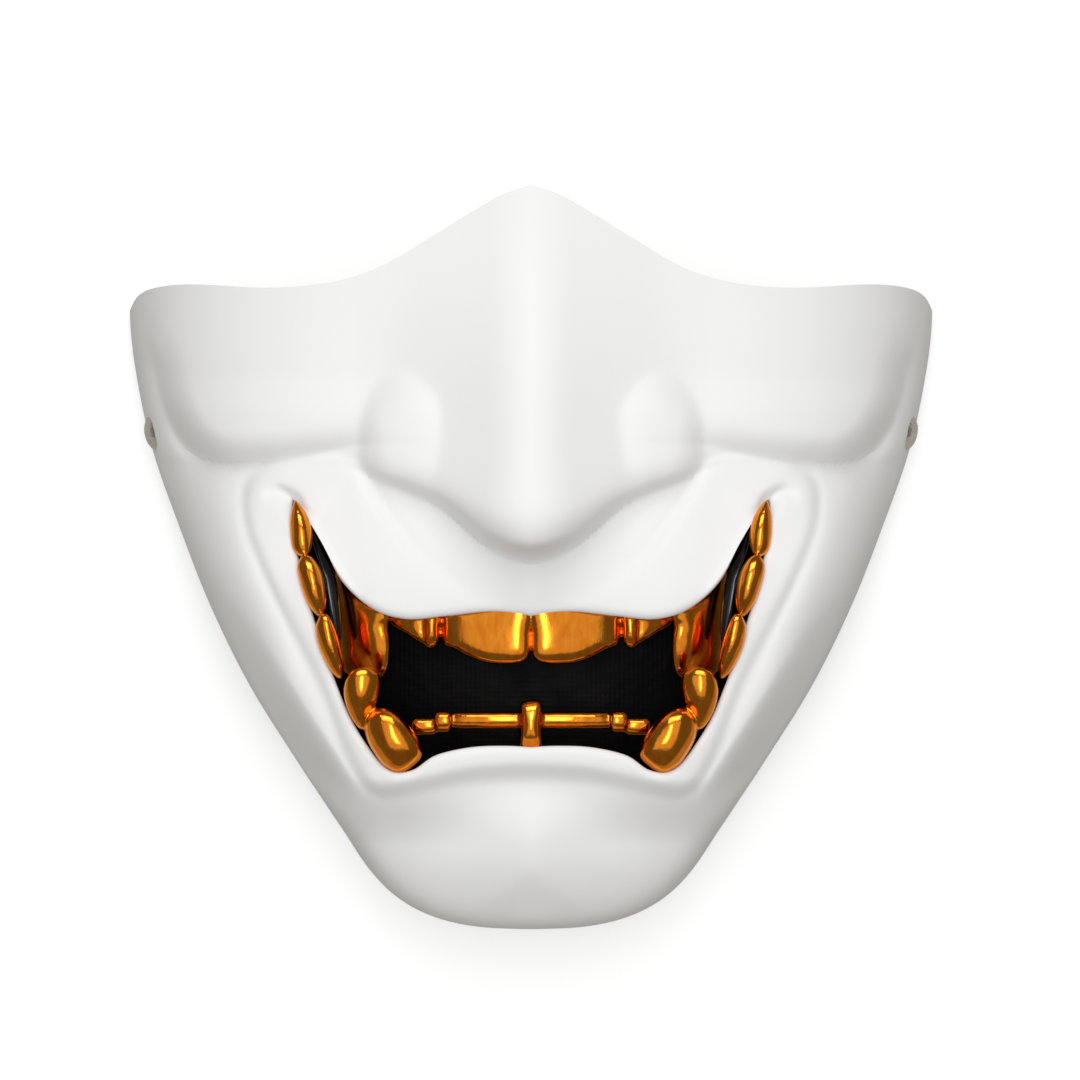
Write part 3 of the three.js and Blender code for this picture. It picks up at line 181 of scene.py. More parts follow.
# Jowl, chin and ridge under the nose, in shares of the height and of the half width
JOWL_LOW, JOWL_LOW_FADE, JOWL_HIGH, JOWL_HIGH_FADE = 0.2, 0.15, 0.63, 0.1
JOWL_SIDE, JOWL_SPREAD = 0.84, 0.07
CHIN_TOP, CHIN_FADE, CHIN_SPREAD, CHIN_LEVEL = 0.205, 0.09, 0.42, 0.75
CHIN_FOOT_TOP, CHIN_FOOT_SLANT, CHIN_FOOT_FADE = 0.088, 0.4, 0.06
PHILTRUM_LOW, PHILTRUM_LOW_FADE, PHILTRUM_HIGH, PHILTRUM_HIGH_FADE = 0.4, 0.04, 0.56, 0.08


# Curves and sculpting

def smooth(t):
    t = np.clip(t, 0, 1)
    return t * t * (3 - 2 * t)


def mix(a, b, t):
    return a + (b - a) * t


def roll(t, power):
    """0 with an upright start at t = 0, 1 with a level end from t = 1 on."""
    return (1 - (1 - np.clip(t, 0, 1)) ** power) ** (1 / power)


def soft_max(a, b, fillet):
    h = np.maximum(0, fillet - np.abs(a - b)) / fillet
    return np.maximum(a, b) + h * h * fillet / 4


def value_at(table, at, column=1):
    """One column of a table at values of its first, on a smooth curve through the rows."""
    rows = np.array(table, float)
    xs, ys = rows[:, 0], rows[:, column]
    before, after = np.r_[0, np.arange(len(xs) - 1)], np.r_[np.arange(1, len(xs)), len(xs) - 1]
    slopes = (ys[after] - ys[before]) / (xs[after] - xs[before])
    at = np.clip(at, xs[0], xs[-1])
    i = np.clip(np.searchsorted(xs, at, side="left") - 1, 0, len(xs) - 2)
    span = xs[i + 1] - xs[i]
    t = (at - xs[i]) / span
    straight = (ys[i + 1] - ys[i]) / span
    bend = t * (1 - t) * ((1 - t) * (slopes[i] - straight) + t * (straight - slopes[i + 1])) * span
    return mix(ys[i], ys[i + 1], t) + bend


def fine_curve(rows, steps=10):
    """Fine points of a smooth curve through the rows."""
    rows = np.array(rows, float)
    padded = np.vstack([rows[:1], rows, rows[-1:]])
    t = (np.arange(steps) / steps)[:, None]
    pieces = []
    for i in range(len(rows) - 1):
        a, b, c, d = padded[i:i + 4]
        pieces.append((a * (-t + 2 * t**2 - t**3) + b * (2 - 5 * t**2 + 3 * t**3)
                       + c * (t + 4 * t**2 - 3 * t**3) + d * (-t**2 + t**3)) / 2)
    return np.vstack([*pieces, rows[-1:]])


def on_mouth(rows):
    """The mouth's shares as places on the face; further columns stay."""
    points = fine_curve(rows)
    points[:, 0] *= HALF_MOUTH
    points[:, 1] = MOUTH_Y - points[:, 1] * MOUTH_HEIGHT
    return points


def on_face(rows):
    points = fine_curve(rows)
    points[:, 0] *= HALF_WIDTH
    points[:, 1] = CHIN_Y + points[:, 1] * MASK_HEIGHT
    return points


def nearest(curve, x, y):
    """Distance to a curve, positive on its left, the curve's further columns there, and how far along."""
    best = np.full(x.shape, np.inf)
    side = np.ones(x.shape)
    place = np.zeros(x.shape)
    for i in range(len(curve) - 1):
        (ax, ay), (bx, by) = curve[i][:2], curve[i + 1][:2]
        dx, dy = bx - ax, by - ay
        t = np.clip(((x - ax) * dx + (y - ay) * dy) / (dx * dx + dy * dy), 0, 1)
        ox, oy = x - ax - t * dx, y - ay - t * dy
        squared = ox * ox + oy * oy
        closer = squared < best
        best[closer] = squared[closer]
        side[closer] = np.sign(dx * oy - dy * ox)[closer]
        place[closer] = (i + t)[closer]
    low = np.minimum(place.astype(int), len(curve) - 2)
    part = (place - low)[:, None]
    columns = curve[low, 2:] * (1 - part) + curve[low + 1, 2:] * part
    return side * np.sqrt(best), columns, place / (len(curve) - 1)


mouth_curve = on_mouth(MOUTH)
ring_curve = on_mouth(RING)
fold_curve = on_mouth(CORNER_FOLD)
groove_curve = on_face(CHEEK_GROOVE)


def height_share(y):
    return (y - CHIN_Y) / MASK_HEIGHT


def half_width_at(y):
    return HALF_WIDTH * value_at(OUTLINE, height_share(y))


def top_edge_at(x):
    return CHIN_Y + MASK_HEIGHT * value_at(TOP_EDGE, np.abs(x) / HALF_WIDTH)


def rim_height(y):
    share = height_share(y)
    t = np.clip((share - RIM_LIFT_LOW) / (RIM_LIFT_HIGH - RIM_LIFT_LOW), 0, 1)
    return math.tan(RIM_TILT) * (RIM_TOP - share) * MASK_HEIGHT + RIM_RISE * np.sin(np.pi * t) ** 2


def squareness(share):
    return mix(JAW_SQUARE, DOME_ROUND, smooth((share - SQUARE_FADE_START) / SQUARE_FADE_SPAN))


def fullness(x, y):
    """1 in the middle of the face, falling to 0 at the outline."""
    share = height_share(y)
    across = (np.abs(x) / half_width_at(y)) ** squareness(share)
    down = np.clip((CHIN_ROUND_START - share) / CHIN_ROUND_START, 0, 1) ** CHIN_SQUARE
    full = np.maximum(0, 1 - across - down) ** (1 / DOME_ROUND)
    return 1 - (1 - full) ** value_at(EDGE_FULL, share)


def middle_depth(y):
    return FACE_DEPTH * value_at(PROFILE, height_share(y))


def dome_height(x, y):
    rim = rim_height(y)
    return rim + (middle_depth(y) - rim) * fullness(x, y)


def nose_foot_at(x):
    return NOSE_FOOT_Y + NOSE_LENGTH * value_at(NOSE_FOOT, np.abs(x) / HALF_NOSE)


def nose_height(x, y):
    """A roof from bridge to tip with a wing on each side, ending at its underside."""
    side = np.abs(x) / HALF_NOSE
    up = (y - NOSE_FOOT_Y) / NOSE_LENGTH
    towards_bridge = np.clip(up, 0, 1)
    rise = mix(NOSE_RISE, BRIDGE_RISE, smooth((up - NOSE_RISE_START) / NOSE_RISE_SPAN))
    ridge = RIDGE_HALF * (1 + RIDGE_WIDER * (1 - smooth((up - RIDGE_WIDER_START) / RIDGE_WIDER_SPAN)))
    half_roof = HALF_NOSE * mix(ROOF_HALF_AT_TIP, ROOF_HALF_AT_BRIDGE, towards_bridge)
    across = soft_max(np.abs(x) - ridge, 0, RIDGE_FILLET * HALF_NOSE) / (half_roof - ridge)
    roof = rise * np.clip(1 - across, 0, 1) ** mix(ROOF_HOLLOW_AT_TIP, ROOF_HOLLOW_AT_BRIDGE, towards_bridge)

    wing_x = (side - WING_ACROSS - WING_LEAN * (WING_UP - up)) / WING_HALF_WIDTH
    wing_y = (up - WING_UP) / WING_HALF_HEIGHT
    tilt = WING_TILT * smooth((up - WING_TILT_START) / WING_TILT_SPAN)
    wing = WING_RISE * (1 - tilt * wing_x) * np.maximum(0, 1 - np.hypot(wing_x, wing_y) ** WING_LEVEL)

    above_foot = y - nose_foot_at(x)
    roll_length = TIP_ROUND * mix(1, SIDE_ROLL, smooth(side / SIDE_ROLL_END))
    wall_width = TIP_WALL_WIDTH * mix(1, SIDE_WALL, smooth(side / SIDE_WALL_END))
    tip_roll = 1 - (1 - np.clip(above_foot / roll_length, 0, 1)) ** TIP_ROLL_POWER
    under = TIP_WALL * smooth(above_foot / wall_width) + (1 - TIP_WALL) * tip_roll
    merge = smooth((up - WING_MERGE_START) / WING_MERGE_SPAN)
    merged = HALF_NOSE * mix(WING_MERGE_LOW, WING_MERGE_HIGH, merge)
    return soft_max(roof, wing, merged) * under


def cheek_height(x, y):
    distance, columns, _ = nearest(groove_curve, np.abs(x), y)
    away = -distance
    inside = 1 - (1 - np.clip(away / CHEEK_ROUND, 0, 1)) ** PAD_POWER
    pad = np.where(away > 0, inside, GROOVE_BANK * (1 - np.exp(np.minimum(away, 0) / GROOVE_ROUND)))
    towards_nose = smooth((np.abs(x) - CHEEK_START * HALF_WIDTH) / (CHEEK_SPAN * HALF_WIDTH))
    return CHEEK_RISE * columns[:, 0] * (pad - 1) * towards_nose


def ring_height(x, y):
    """Ring round the mouth with its step, the groove outside it and the fold at the corner."""
    distance, columns, _ = nearest(ring_curve, np.abs(x), y)
    rise, width = columns[:, 0], columns[:, 1]
    top = np.where(rise > LOWER_LIP_FROM, LOWER_LIP_RISE * rise, MUZZLE_RISE * rise / MUZZLE_FROM)
    step = top * smooth(0.5 + distance / width)
    groove_depth = RING_GROOVE_DEPTH * np.minimum(1, rise / GROOVE_FULL_FROM)
    groove = groove_depth * np.exp(-((distance / RING_GROOVE_WIDTH) ** 2))
    fold, _, along = nearest(fold_curve, np.abs(x), y)
    fold_width = np.where(fold > 0, FOLD_INNER_WIDTH, FOLD_OUTER_WIDTH)
    crease = FOLD_DEPTH * (1 - along**2) * np.exp(-((fold / fold_width) ** 2))
    return step - groove - crease


def soft_forms(x, y):
    """Jowl beside the mouth, ridge and foot of the chin, and ridge under the nose."""
    share = height_share(y)
    side = np.abs(x) / half_width_at(y)
    jowl_span = smooth((share - JOWL_LOW) / JOWL_LOW_FADE) * smooth((JOWL_HIGH - share) / JOWL_HIGH_FADE)
    jowl = JOWL_RISE * jowl_span * np.exp(-(((side - JOWL_SIDE) / JOWL_SPREAD) ** 2))

    from_ridge = np.hypot(x, CHIN_CREST_ROUND) / (CHIN_SPREAD * HALF_WIDTH)
    crest = np.maximum(0, 1 - from_ridge) - CHIN_LEVEL
    chin = CHIN_RIDGE * smooth((CHIN_TOP - share) / CHIN_FADE) * crest
    foot_top = CHIN_FOOT_TOP - CHIN_FOOT_SLANT * np.abs(x) / HALF_WIDTH
    foot = CHIN_FOOT_DROP * smooth((foot_top - share) / CHIN_FOOT_FADE)

    above_lip = smooth((share - PHILTRUM_LOW) / PHILTRUM_LOW_FADE)
    under_nose = above_lip * smooth((PHILTRUM_HIGH - share) / PHILTRUM_HIGH_FADE)
    return jowl + chin - foot + PHILTRUM_RISE * np.exp(-((x / PHILTRUM_WIDTH) ** 2)) * under_nose


FORM_STEP = 0.4
FORM_SOFTNESS = 0.55
SOFT_REACH = 4  # steps on each side
FORM_MARGIN, FORM_MARGIN_BELOW = 8, 6


def soften(heights):
    """Rounds the creases of a grid of heights over FORM_SOFTNESS."""
    steps = np.arange(-SOFT_REACH, SOFT_REACH + 1)
    weights = np.exp(-0.5 * (steps * FORM_STEP / FORM_SOFTNESS) ** 2)
    weights /= weights.sum()
    for axis in (0, 1):
        sides = [(SOFT_REACH, SOFT_REACH) if k == axis else (0, 0) for k in (0, 1)]
        padded = np.pad(heights, sides, mode="reflect")
        heights = sum(weight * np.take(padded, range(i, i + heights.shape[axis]), axis)
                      for i, weight in enumerate(weights))
    return heights


form_x = np.arange(0, HALF_WIDTH + FORM_MARGIN, FORM_STEP)
form_y = np.arange(CHIN_Y - FORM_MARGIN_BELOW, CHIN_Y + MASK_HEIGHT + FORM_MARGIN, FORM_STEP)
flat_x, flat_y = (grid.ravel() for grid in np.meshgrid(form_x, form_y))
forms = (nose_height(flat_x, flat_y) + ring_height(flat_x, flat_y) + cheek_height(flat_x, flat_y)
         + soft_forms(flat_x, flat_y))
forms = soften(forms.reshape(len(form_y), len(form_x)))


def forms_at(x, y):
    """Height of the softened forms, read between the points of their grid."""
    across = np.clip(np.abs(x) / FORM_STEP, 0, len(form_x) - 1.001)
    up = np.clip((y - form_y[0]) / FORM_STEP, 0, len(form_y) - 1.001)
    i, j = across.astype(int), up.astype(int)
    across, up = across - i, up - j
    low = mix(forms[j, i], forms[j, i + 1], across)
    high = mix(forms[j + 1, i], forms[j + 1, i + 1], across)
    return mix(low, high, up)


def front_height(x, y):
    full = fullness(x, y)
    free = dome_height(x, y) + forms_at(x, y) * smooth(full * FORM_FADE)
    share = height_share(y)
    rim = rim_height(y)
    facet = rim + value_at(JAW_WALL, share) + JAW_SLOPE * (half_width_at(y) - np.abs(x))
    span = smooth((JAW_HIGH - share) / JAW_HIGH_FADE) * smooth((share - JAW_LOW) / JAW_LOW_FADE)
    amount = span * smooth(full * JAW_EDGE_FADE)
    limited = -soft_max(-free, -np.maximum(facet, rim), JAW_FILLET)
    return mix(free, np.minimum(free, limited), amount)


# The shell's surfaces

LINES = 216
FRONT_RINGS = 160
BACK_RINGS = 44
RIM_SAMPLES = 400
LINE_SAMPLES = 400
CORNER_CROWD = 3  # the samples lie closer towards the corner
OUTLINE_CROWD = 3.5  # and here towards the outline
JUST_INSIDE = 1 - 1e-7
FRONT_NEAR = np.array([0, 0.15, 0.4, 0.8, 1.3, 1.9, 2.6, 3.4, 4.3, 5.2, 6.1, SEAT_BAND])
BACK_NEAR = np.array([0, 2.0, 4.5, SEAT_BAND])
BAND_NEAR = np.array([0.2, 2.5, 4.8, SEAT_BAND])
REST_REACH = 0.5  # an end this little above the rim's height rests with the rim
LEAN_REACH = 10
BEHIND_SHARES = (0.5, 0.85, 1)
BEHIND_TURNS = 8
MERGE_DISTANCE = 1e-6


def length_shares(points):
    steps = np.linalg.norm(np.diff(points, axis=0), axis=1)
    lengths = np.r_[0, np.cumsum(steps)]
    return lengths / lengths[-1]


def rim_curve():
    """The rim of one side: along the upper edge to the corner, then down to the chin."""
    t = np.linspace(0, 1, RIM_SAMPLES, endpoint=False)
    x = HALF_WIDTH * (1 - (1 - t) ** CORNER_CROWD) * JUST_INSIDE
    y = top_edge_at(x)
    top = np.column_stack([x, y, dome_height(x, y)])
    y = np.linspace(CHIN_Y + RIM_TOP * MASK_HEIGHT, CHIN_Y, RIM_SAMPLES + 1)
    share = height_share(y)
    down = np.clip((CHIN_ROUND_START - share) / CHIN_ROUND_START, 0, 1) ** CHIN_SQUARE
    x = half_width_at(y) * np.maximum(0, 1 - down) ** (1 / squareness(share))
    return np.vstack([top, np.column_stack([x, y, rim_height(y)])])


def points_at(curve, shares, at):
    return np.column_stack([np.interp(at, shares, curve[:, k]) for k in range(curve.shape[1])])


def shell_lines():
    """Lines from the mouth's edge to the rim: samples [line, sample, xyz] on the plain dome."""
    mouth = mouth_curve[:, :2]
    rim = rim_curve()
    share = np.linspace(0, 1, LINES + 1)
    starts = points_at(mouth, length_shares(mouth), value_at(LINE_ENDS, share, 1))
    ends = points_at(rim, length_shares(rim), value_at(LINE_ENDS, share, 2))
    t = 1 - (1 - np.linspace(0, 1, LINE_SAMPLES + 1)) ** OUTLINE_CROWD
    x = mix(starts[:, :1], ends[:, :1], t)
    y = mix(starts[:, 1:2], ends[:, 1:2], t)
    z = np.maximum(dome_height(x.ravel(), y.ravel()).reshape(x.shape), ends[:, 2:3])
    z[:, -1] = ends[:, 2]
    return np.stack([x, y, z], axis=2), ends


def ring_places(lines, rings, near):
    """Points of each line at even steps beyond a finer stretch near the mouth; also their distances."""
    places = np.empty((len(lines), rings + 1, 3))
    reaches = np.empty((len(lines), rings + 1))
    for i, line in enumerate(lines):
        steps = np.r_[0, np.cumsum(np.linalg.norm(np.diff(line, axis=0), axis=1))]
        rest = np.linspace(SEAT_BAND, steps[-1], rings + 2 - len(near))[1:]
        reach = np.r_[near, rest]
        places[i] = points_at(line, steps, reach)
        reaches[i] = reach
    return places, reaches


def dome_normals(places):
    out = np.gradient(places, axis=1)
    round_ = np.gradient(places, axis=0)
    normals = np.cross(out, round_)
    normals /= np.linalg.norm(normals, axis=2, keepdims=True) + 1e-12
    normals[normals[:, :, 2] < 0] *= -1
    normals[0, :, 0] = 0
    normals[-1, :, 0] = 0
    return normals


def surface(x, y):
    return front_height(x.ravel(), y.ravel()).reshape(x.shape)


def behind(x, y, depth):
    """Height of a surface that lies a depth behind the front, square to it."""
    height = surface(x, y) - depth
    for share in BEHIND_SHARES:
        for k in range(BEHIND_TURNS):
            turn = 2 * math.pi * k / BEHIND_TURNS
            sideways = depth * share
            moved = surface(x + sideways * math.cos(turn), y + sideways * math.sin(turn))
            height = np.minimum(height, moved - depth * math.sqrt(1 - share * share))
    return height


def wall_at(reach):
    return WALL + LIP_EXTRA * (1 - smooth(reach / LIP_EXTRA_REACH))


def shell_surfaces():
    """Front and back points of one side, each [line, ring, xyz], from the mouth to the rim."""
    lines, ends = shell_lines()
    front, reach = ring_places(lines, FRONT_RINGS, FRONT_NEAR)
    rests = ends[:, 2] <= rim_height(ends[:, 1]) + REST_REACH
    edge = LIP_DROP * (1 - roll(reach / LIP_ROUND, 2))
    front[:, :, 2] = surface(front[:, :, 0], front[:, :, 1]) - edge
    front[rests, -1, 2] = rim_height(front[rests, -1, 1])

    back, reach = ring_places(lines, BACK_RINGS, BACK_NEAR)
    depth = wall_at(reach)
    lean = smooth(reach / LEAN_REACH)
    lean[:, -1] = 1
    back = back - dome_normals(back) * (depth * lean)[:, :, None]
    back[:, :, 2] = behind(back[:, :, 0], back[:, :, 1], depth)
    back[rests, -1, 2] = rim_height(back[rests, -1, 1])
    return front, back


def stand(points):
    """Turns points of the face's frame back by the rim's tilt and stands the rim on the surface."""
    c, s = math.cos(RIM_TILT), math.sin(RIM_TILT)
    x, y, z = np.moveaxis(points, -1, 0)
    lift = (CHIN_Y + RIM_TOP * MASK_HEIGHT) * s
    return np.stack([x, y * c - z * s, y * s + z * c - lift], axis=-1)


front, back = shell_surfaces()
loop = np.concatenate([front, back[:, ::-1]], axis=1)
loop = stand(loop)
middle_y = (loop[:, :, 1].min() + loop[:, :, 1].max()) / 2


def seated(points):
    """From the face's frame to the mask's own frame, in metres."""
    placed = stand(points)
    placed[..., 1] -= middle_y
    return placed * MM


# Making pieces

def make_only(piece):
    bpy.ops.object.select_all(action="DESELECT")
    piece.select_set(True)
    bpy.context.view_layer.objects.active = piece


def put_points(piece, points):
    piece.data.vertices.foreach_set("co", np.ascontiguousarray(points, float).ravel())
    piece.data.update()


def finish_piece(piece, name, material, angle=35):
    make_only(piece)
    piece.name = name
    piece.data.materials.clear()
    piece.data.materials.append(material)
    bpy.ops.object.shade_smooth_by_angle(angle=math.radians(angle))
    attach(piece, "root")
    return piece


def wrapped_grid(points):
    """A closed sheet through a grid of points in metres, with the doubled points at its seams merged."""
    bpy.ops.object.select_all(action="DESELECT")
    rows, columns = points.shape[0] - 1, points.shape[1] - 1
    bpy.ops.mesh.primitive_grid_add(x_subdivisions=columns, y_subdivisions=rows, size=0.1)
    piece = bpy.context.object
    put_points(piece, points)
    bpy.ops.object.mode_set(mode="EDIT")
    bpy.ops.mesh.select_all(action="SELECT")
    bpy.ops.mesh.remove_doubles(threshold=MERGE_DISTANCE)
    bpy.ops.object.mode_set(mode="OBJECT")
    return piece


def new_ball(segments, rings):
    """A ball of radius 1 and its points."""
    bpy.ops.object.select_all(action="DESELECT")
    bpy.ops.mesh.primitive_uv_sphere_add(segments=segments, ring_count=rings, radius=1)
    piece = bpy.context.object
    p = np.empty(len(piece.data.vertices) * 3)
    piece.data.vertices.foreach_get("co", p)
    return piece, p.reshape(-1, 3)


def face_outwards(piece):
    make_only(piece)
    bpy.ops.object.mode_set(mode="EDIT")
    bpy.ops.mesh.select_all(action="SELECT")
    bpy.ops.mesh.normals_make_consistent(inside=False)
    bpy.ops.object.mode_set(mode="OBJECT")


# Effects and finishes

# Levels of a noise that count as its ends
NOISE_LOW, NOISE_HIGH = 0.3, 0.7
# Places of a mix's colour sockets, whose names it also gives to other kinds
COLOUR_A, COLOUR_B, COLOUR_OUT = 6, 7, 2
FLOOR_THROW = (0.45, 0.425, 0.39, 1)
FLOOR_SEEN = (0.45, 0.45, 0.45, 1)
FLOOR_GLOW = 0.62


def link(tree, start, end):
    """Joins an output to an input."""
    tree.links.new(start, end)


def add_node(tree, kind, **values):
    """A node with its input sockets set by name, spaces written as underscores."""
    node = tree.nodes.new(kind)
    for socket, value in values.items():
        node.inputs[socket.replace("_", " ")].default_value = value
    return node


def new_effect(name, inputs, outputs):
    """An empty node group with named sockets, each (name, type, value)."""
    tree = bpy.data.node_groups.new(name, "ShaderNodeTree")
    for direction, sockets in (("INPUT", inputs), ("OUTPUT", outputs)):
        for label, kind, value in sockets:
            socket_type = "NodeSocket" + kind
            socket = tree.interface.new_socket(name=label, in_out=direction, socket_type=socket_type)
            if value is not None:
                socket.default_value = value
    return tree, tree.nodes.new("NodeGroupInput"), tree.nodes.new("NodeGroupOutput")


def spread(tree, value, low, high):
    """Maps a noise value between two levels."""
    span = add_node(tree, "ShaderNodeMapRange")
    span.inputs["From Min"].default_value = NOISE_LOW
    span.inputs["From Max"].default_value = NOISE_HIGH
    for socket, level in (("To Min", low), ("To Max", high)):
        if isinstance(level, float):
            span.inputs[socket].default_value = level
        else:
            link(tree, level, span.inputs[socket])
    link(tree, value, span.inputs["Value"])
    return span.outputs["Result"]


def noise(tree, place, scale, detail=2.0, roughness=0.5):
    texture = add_node(tree, "ShaderNodeTexNoise", Detail=detail, Roughness=roughness)
    link(tree, place, texture.inputs["Vector"])
    if isinstance(scale, float):
        texture.inputs["Scale"].default_value = scale
    else:
        link(tree, scale, texture.inputs["Scale"])
    return texture.outputs["Fac"]


def make_surface_grain():
    """Fine grain over soft unevenness, as a height in shares of the bump's distance."""
    tree, put_in, put_out = new_effect(
        "surface_grain",
        [("Place", "Vector", None), ("Grains per metre", "Float", 1500.0),
         ("Waves per metre", "Float", 60.0), ("Wave share", "Float", 0.5)],
        [("Height", "Float", None)])
    place = put_in.outputs["Place"]
    fine = noise(tree, place, put_in.outputs["Grains per metre"], 3.0, 0.6)
    wide = noise(tree, place, put_in.outputs["Waves per metre"], 1.0)
    blend = tree.nodes.new("ShaderNodeMix")
    link(tree, put_in.outputs["Wave share"], blend.inputs["Factor"])
    link(tree, fine, blend.inputs["A"])
    link(tree, wide, blend.inputs["B"])
    link(tree, blend.outputs["Result"], put_out.inputs["Height"])
    return tree


def make_uneven_gloss():
    """Roughness that drifts between two values."""
    tree, put_in, put_out = new_effect(
        "uneven_gloss",
        [("Place", "Vector", None), ("Smooth", "Float", 0.2), ("Rough", "Float", 0.3),
         ("Patches per metre", "Float", 40.0)],
        [("Roughness", "Float", None)])
    place = put_in.outputs["Place"]
    patches = noise(tree, place, put_in.outputs["Patches per metre"], 4.0, 0.6)
    level = spread(tree, patches, put_in.outputs["Smooth"], put_in.outputs["Rough"])
    link(tree, level, put_out.inputs["Roughness"])
    return tree


def make_colour_drift():
    """A colour that drifts softly between two tones."""
    tree, put_in, put_out = new_effect(
        "colour_drift",
        [("Place", "Vector", None), ("Tone A", "Color", (1, 1, 1, 1)), ("Tone B", "Color", (0, 0, 0, 1)),
         ("Patches per metre", "Float", 30.0)],
        [("Color", "Color", None)])
    patches = noise(tree, put_in.outputs["Place"], put_in.outputs["Patches per metre"], 3.0, 0.55)
    blend = tree.nodes.new("ShaderNodeMix")
    blend.data_type = "RGBA"
    link(tree, spread(tree, patches, 0.0, 1.0), blend.inputs["Factor"])
    link(tree, put_in.outputs["Tone A"], blend.inputs[COLOUR_A])
    link(tree, put_in.outputs["Tone B"], blend.inputs[COLOUR_B])
    link(tree, blend.outputs[COLOUR_OUT], put_out.inputs["Color"])
    return tree


surface_grain = make_surface_grain()
uneven_gloss = make_uneven_gloss()
colour_drift = make_colour_drift()


def new_finish(name, **values):
    """A material with its uniform values set, its shader and its place on the object."""
    material = bpy.data.materials.new(name)
    material.use_nodes = True
    tree = material.node_tree
    bsdf = tree.nodes["Principled BSDF"]
    for socket, value in values.items():
        bsdf.inputs[socket.replace("_", " ")].default_value = value
    return material, tree, bsdf, tree.nodes.new("ShaderNodeTexCoord").outputs["Object"]


def stretched(tree, place, scale):
    mapping = tree.nodes.new("ShaderNodeMapping")
    mapping.inputs["Scale"].default_value = scale
    link(tree, place, mapping.inputs["Vector"])
    return mapping.outputs["Vector"]


def use_effect(tree, effect, place, **values):
    node = tree.nodes.new("ShaderNodeGroup")
    node.node_tree = effect
    link(tree, place, node.inputs["Place"])
    for socket, value in values.items():
        node.inputs[socket.replace("_", " ")].default_value = value
    return node


def add_bump(tree, bsdf, height, strength, distance):
    bump = tree.nodes.new("ShaderNodeBump")
    bump.inputs["Strength"].default_value = strength
    bump.inputs["Distance"].default_value = distance * MM
    link(tree, height, bump.inputs["Height"])
    link(tree, bump.outputs["Normal"], bsdf.inputs["Normal"])


def join_finish(tree, bsdf, tone, gloss):
    link(tree, tone.outputs["Color"], bsdf.inputs["Base Color"])
    link(tree, gloss.outputs["Roughness"], bsdf.inputs["Roughness"])


def make_white_plastic():
    material, tree, bsdf, place = new_finish("white_plastic", Specular_IOR_Level=0.35)
    tone = use_effect(tree, colour_drift, place, Tone_A=(0.825, 0.825, 0.822, 1),
                      Tone_B=(0.8, 0.8, 0.794, 1), Patches_per_metre=14.0)
    gloss = use_effect(tree, uneven_gloss, place, Smooth=0.48, Rough=0.58, Patches_per_metre=55.0)
    grain = use_effect(tree, surface_grain, place, Grains_per_metre=1600.0, Waves_per_metre=45.0,
                       Wave_share=0.5)
    join_finish(tree, bsdf, tone, gloss)
    add_bump(tree, bsdf, grain.outputs["Height"], 0.5, 0.03)
    return material


def make_gold_plating():
    material, tree, bsdf, place = new_finish("gold_plating", Metallic=1.0)
    tone = use_effect(tree, colour_drift, stretched(tree, place, (1.0, 0.25, 1.0)),
                      Tone_A=(0.93, 0.33, 0.03, 1), Tone_B=(0.82, 0.22, 0.015, 1), Patches_per_metre=700.0)
    gloss = use_effect(tree, uneven_gloss, place, Smooth=0.11, Rough=0.2, Patches_per_metre=260.0)
    grain = use_effect(tree, surface_grain, stretched(tree, place, (1.0, 0.3, 1.0)),
                       Grains_per_metre=2600.0, Waves_per_metre=420.0, Wave_share=0.75)
    join_finish(tree, bsdf, tone, gloss)
    add_bump(tree, bsdf, grain.outputs["Height"], 0.6, 0.1)
    return material


def make_black_sheet():
    """Dull black sheet with a fine punched weave."""
    material, tree, bsdf, place = new_finish("black_sheet", Specular_IOR_Level=0.08)
    tone = use_effect(tree, colour_drift, place, Tone_A=(0.003, 0.003, 0.003, 1),
                      Tone_B=(0.001, 0.001, 0.0012, 1), Patches_per_metre=90.0)
    gloss = use_effect(tree, uneven_gloss, place, Smooth=0.4, Rough=0.6, Patches_per_metre=120.0)
    holes = add_node(tree, "ShaderNodeTexVoronoi", Scale=900.0, Randomness=0.0)
    link(tree, place, holes.inputs["Vector"])
    join_finish(tree, bsdf, tone, gloss)
    add_bump(tree, bsdf, holes.outputs["Distance"], 0.5, 0.2)
    return material


def make_black_lacquer():
    material, tree, bsdf, place = new_finish("black_lacquer", Specular_IOR_Level=0.6)
    tone = use_effect(tree, colour_drift, place, Tone_A=(0.006, 0.006, 0.007, 1),
                      Tone_B=(0.002, 0.002, 0.003, 1), Patches_per_metre=200.0)
    gloss = use_effect(tree, uneven_gloss, place, Smooth=0.08, Rough=0.16, Patches_per_metre=200.0)
    grain = use_effect(tree, surface_grain, place, Grains_per_metre=1500.0, Waves_per_metre=300.0,
                       Wave_share=0.9)
    join_finish(tree, bsdf, tone, gloss)
    add_bump(tree, bsdf, grain.outputs["Height"], 0.4, 0.08)
    return material


def make_stud_metal():
    material, tree, bsdf, place = new_finish("stud_metal", Metallic=1.0)
    tone = use_effect(tree, colour_drift, place, Tone_A=(0.74, 0.71, 0.69, 1),
                      Tone_B=(0.6, 0.56, 0.53, 1), Patches_per_metre=500.0)
    gloss = use_effect(tree, uneven_gloss, stretched(tree, place, (1.0, 0.1, 1.0)),
                       Smooth=0.18, Rough=0.34, Patches_per_metre=2500.0)
    grain = use_effect(tree, surface_grain, stretched(tree, place, (1.0, 0.1, 1.0)),
                       Grains_per_metre=5000.0, Waves_per_metre=600.0, Wave_share=0.4)
    join_finish(tree, bsdf, tone, gloss)
    add_bump(tree, bsdf, grain.outputs["Height"], 0.4, 0.02)
    return material


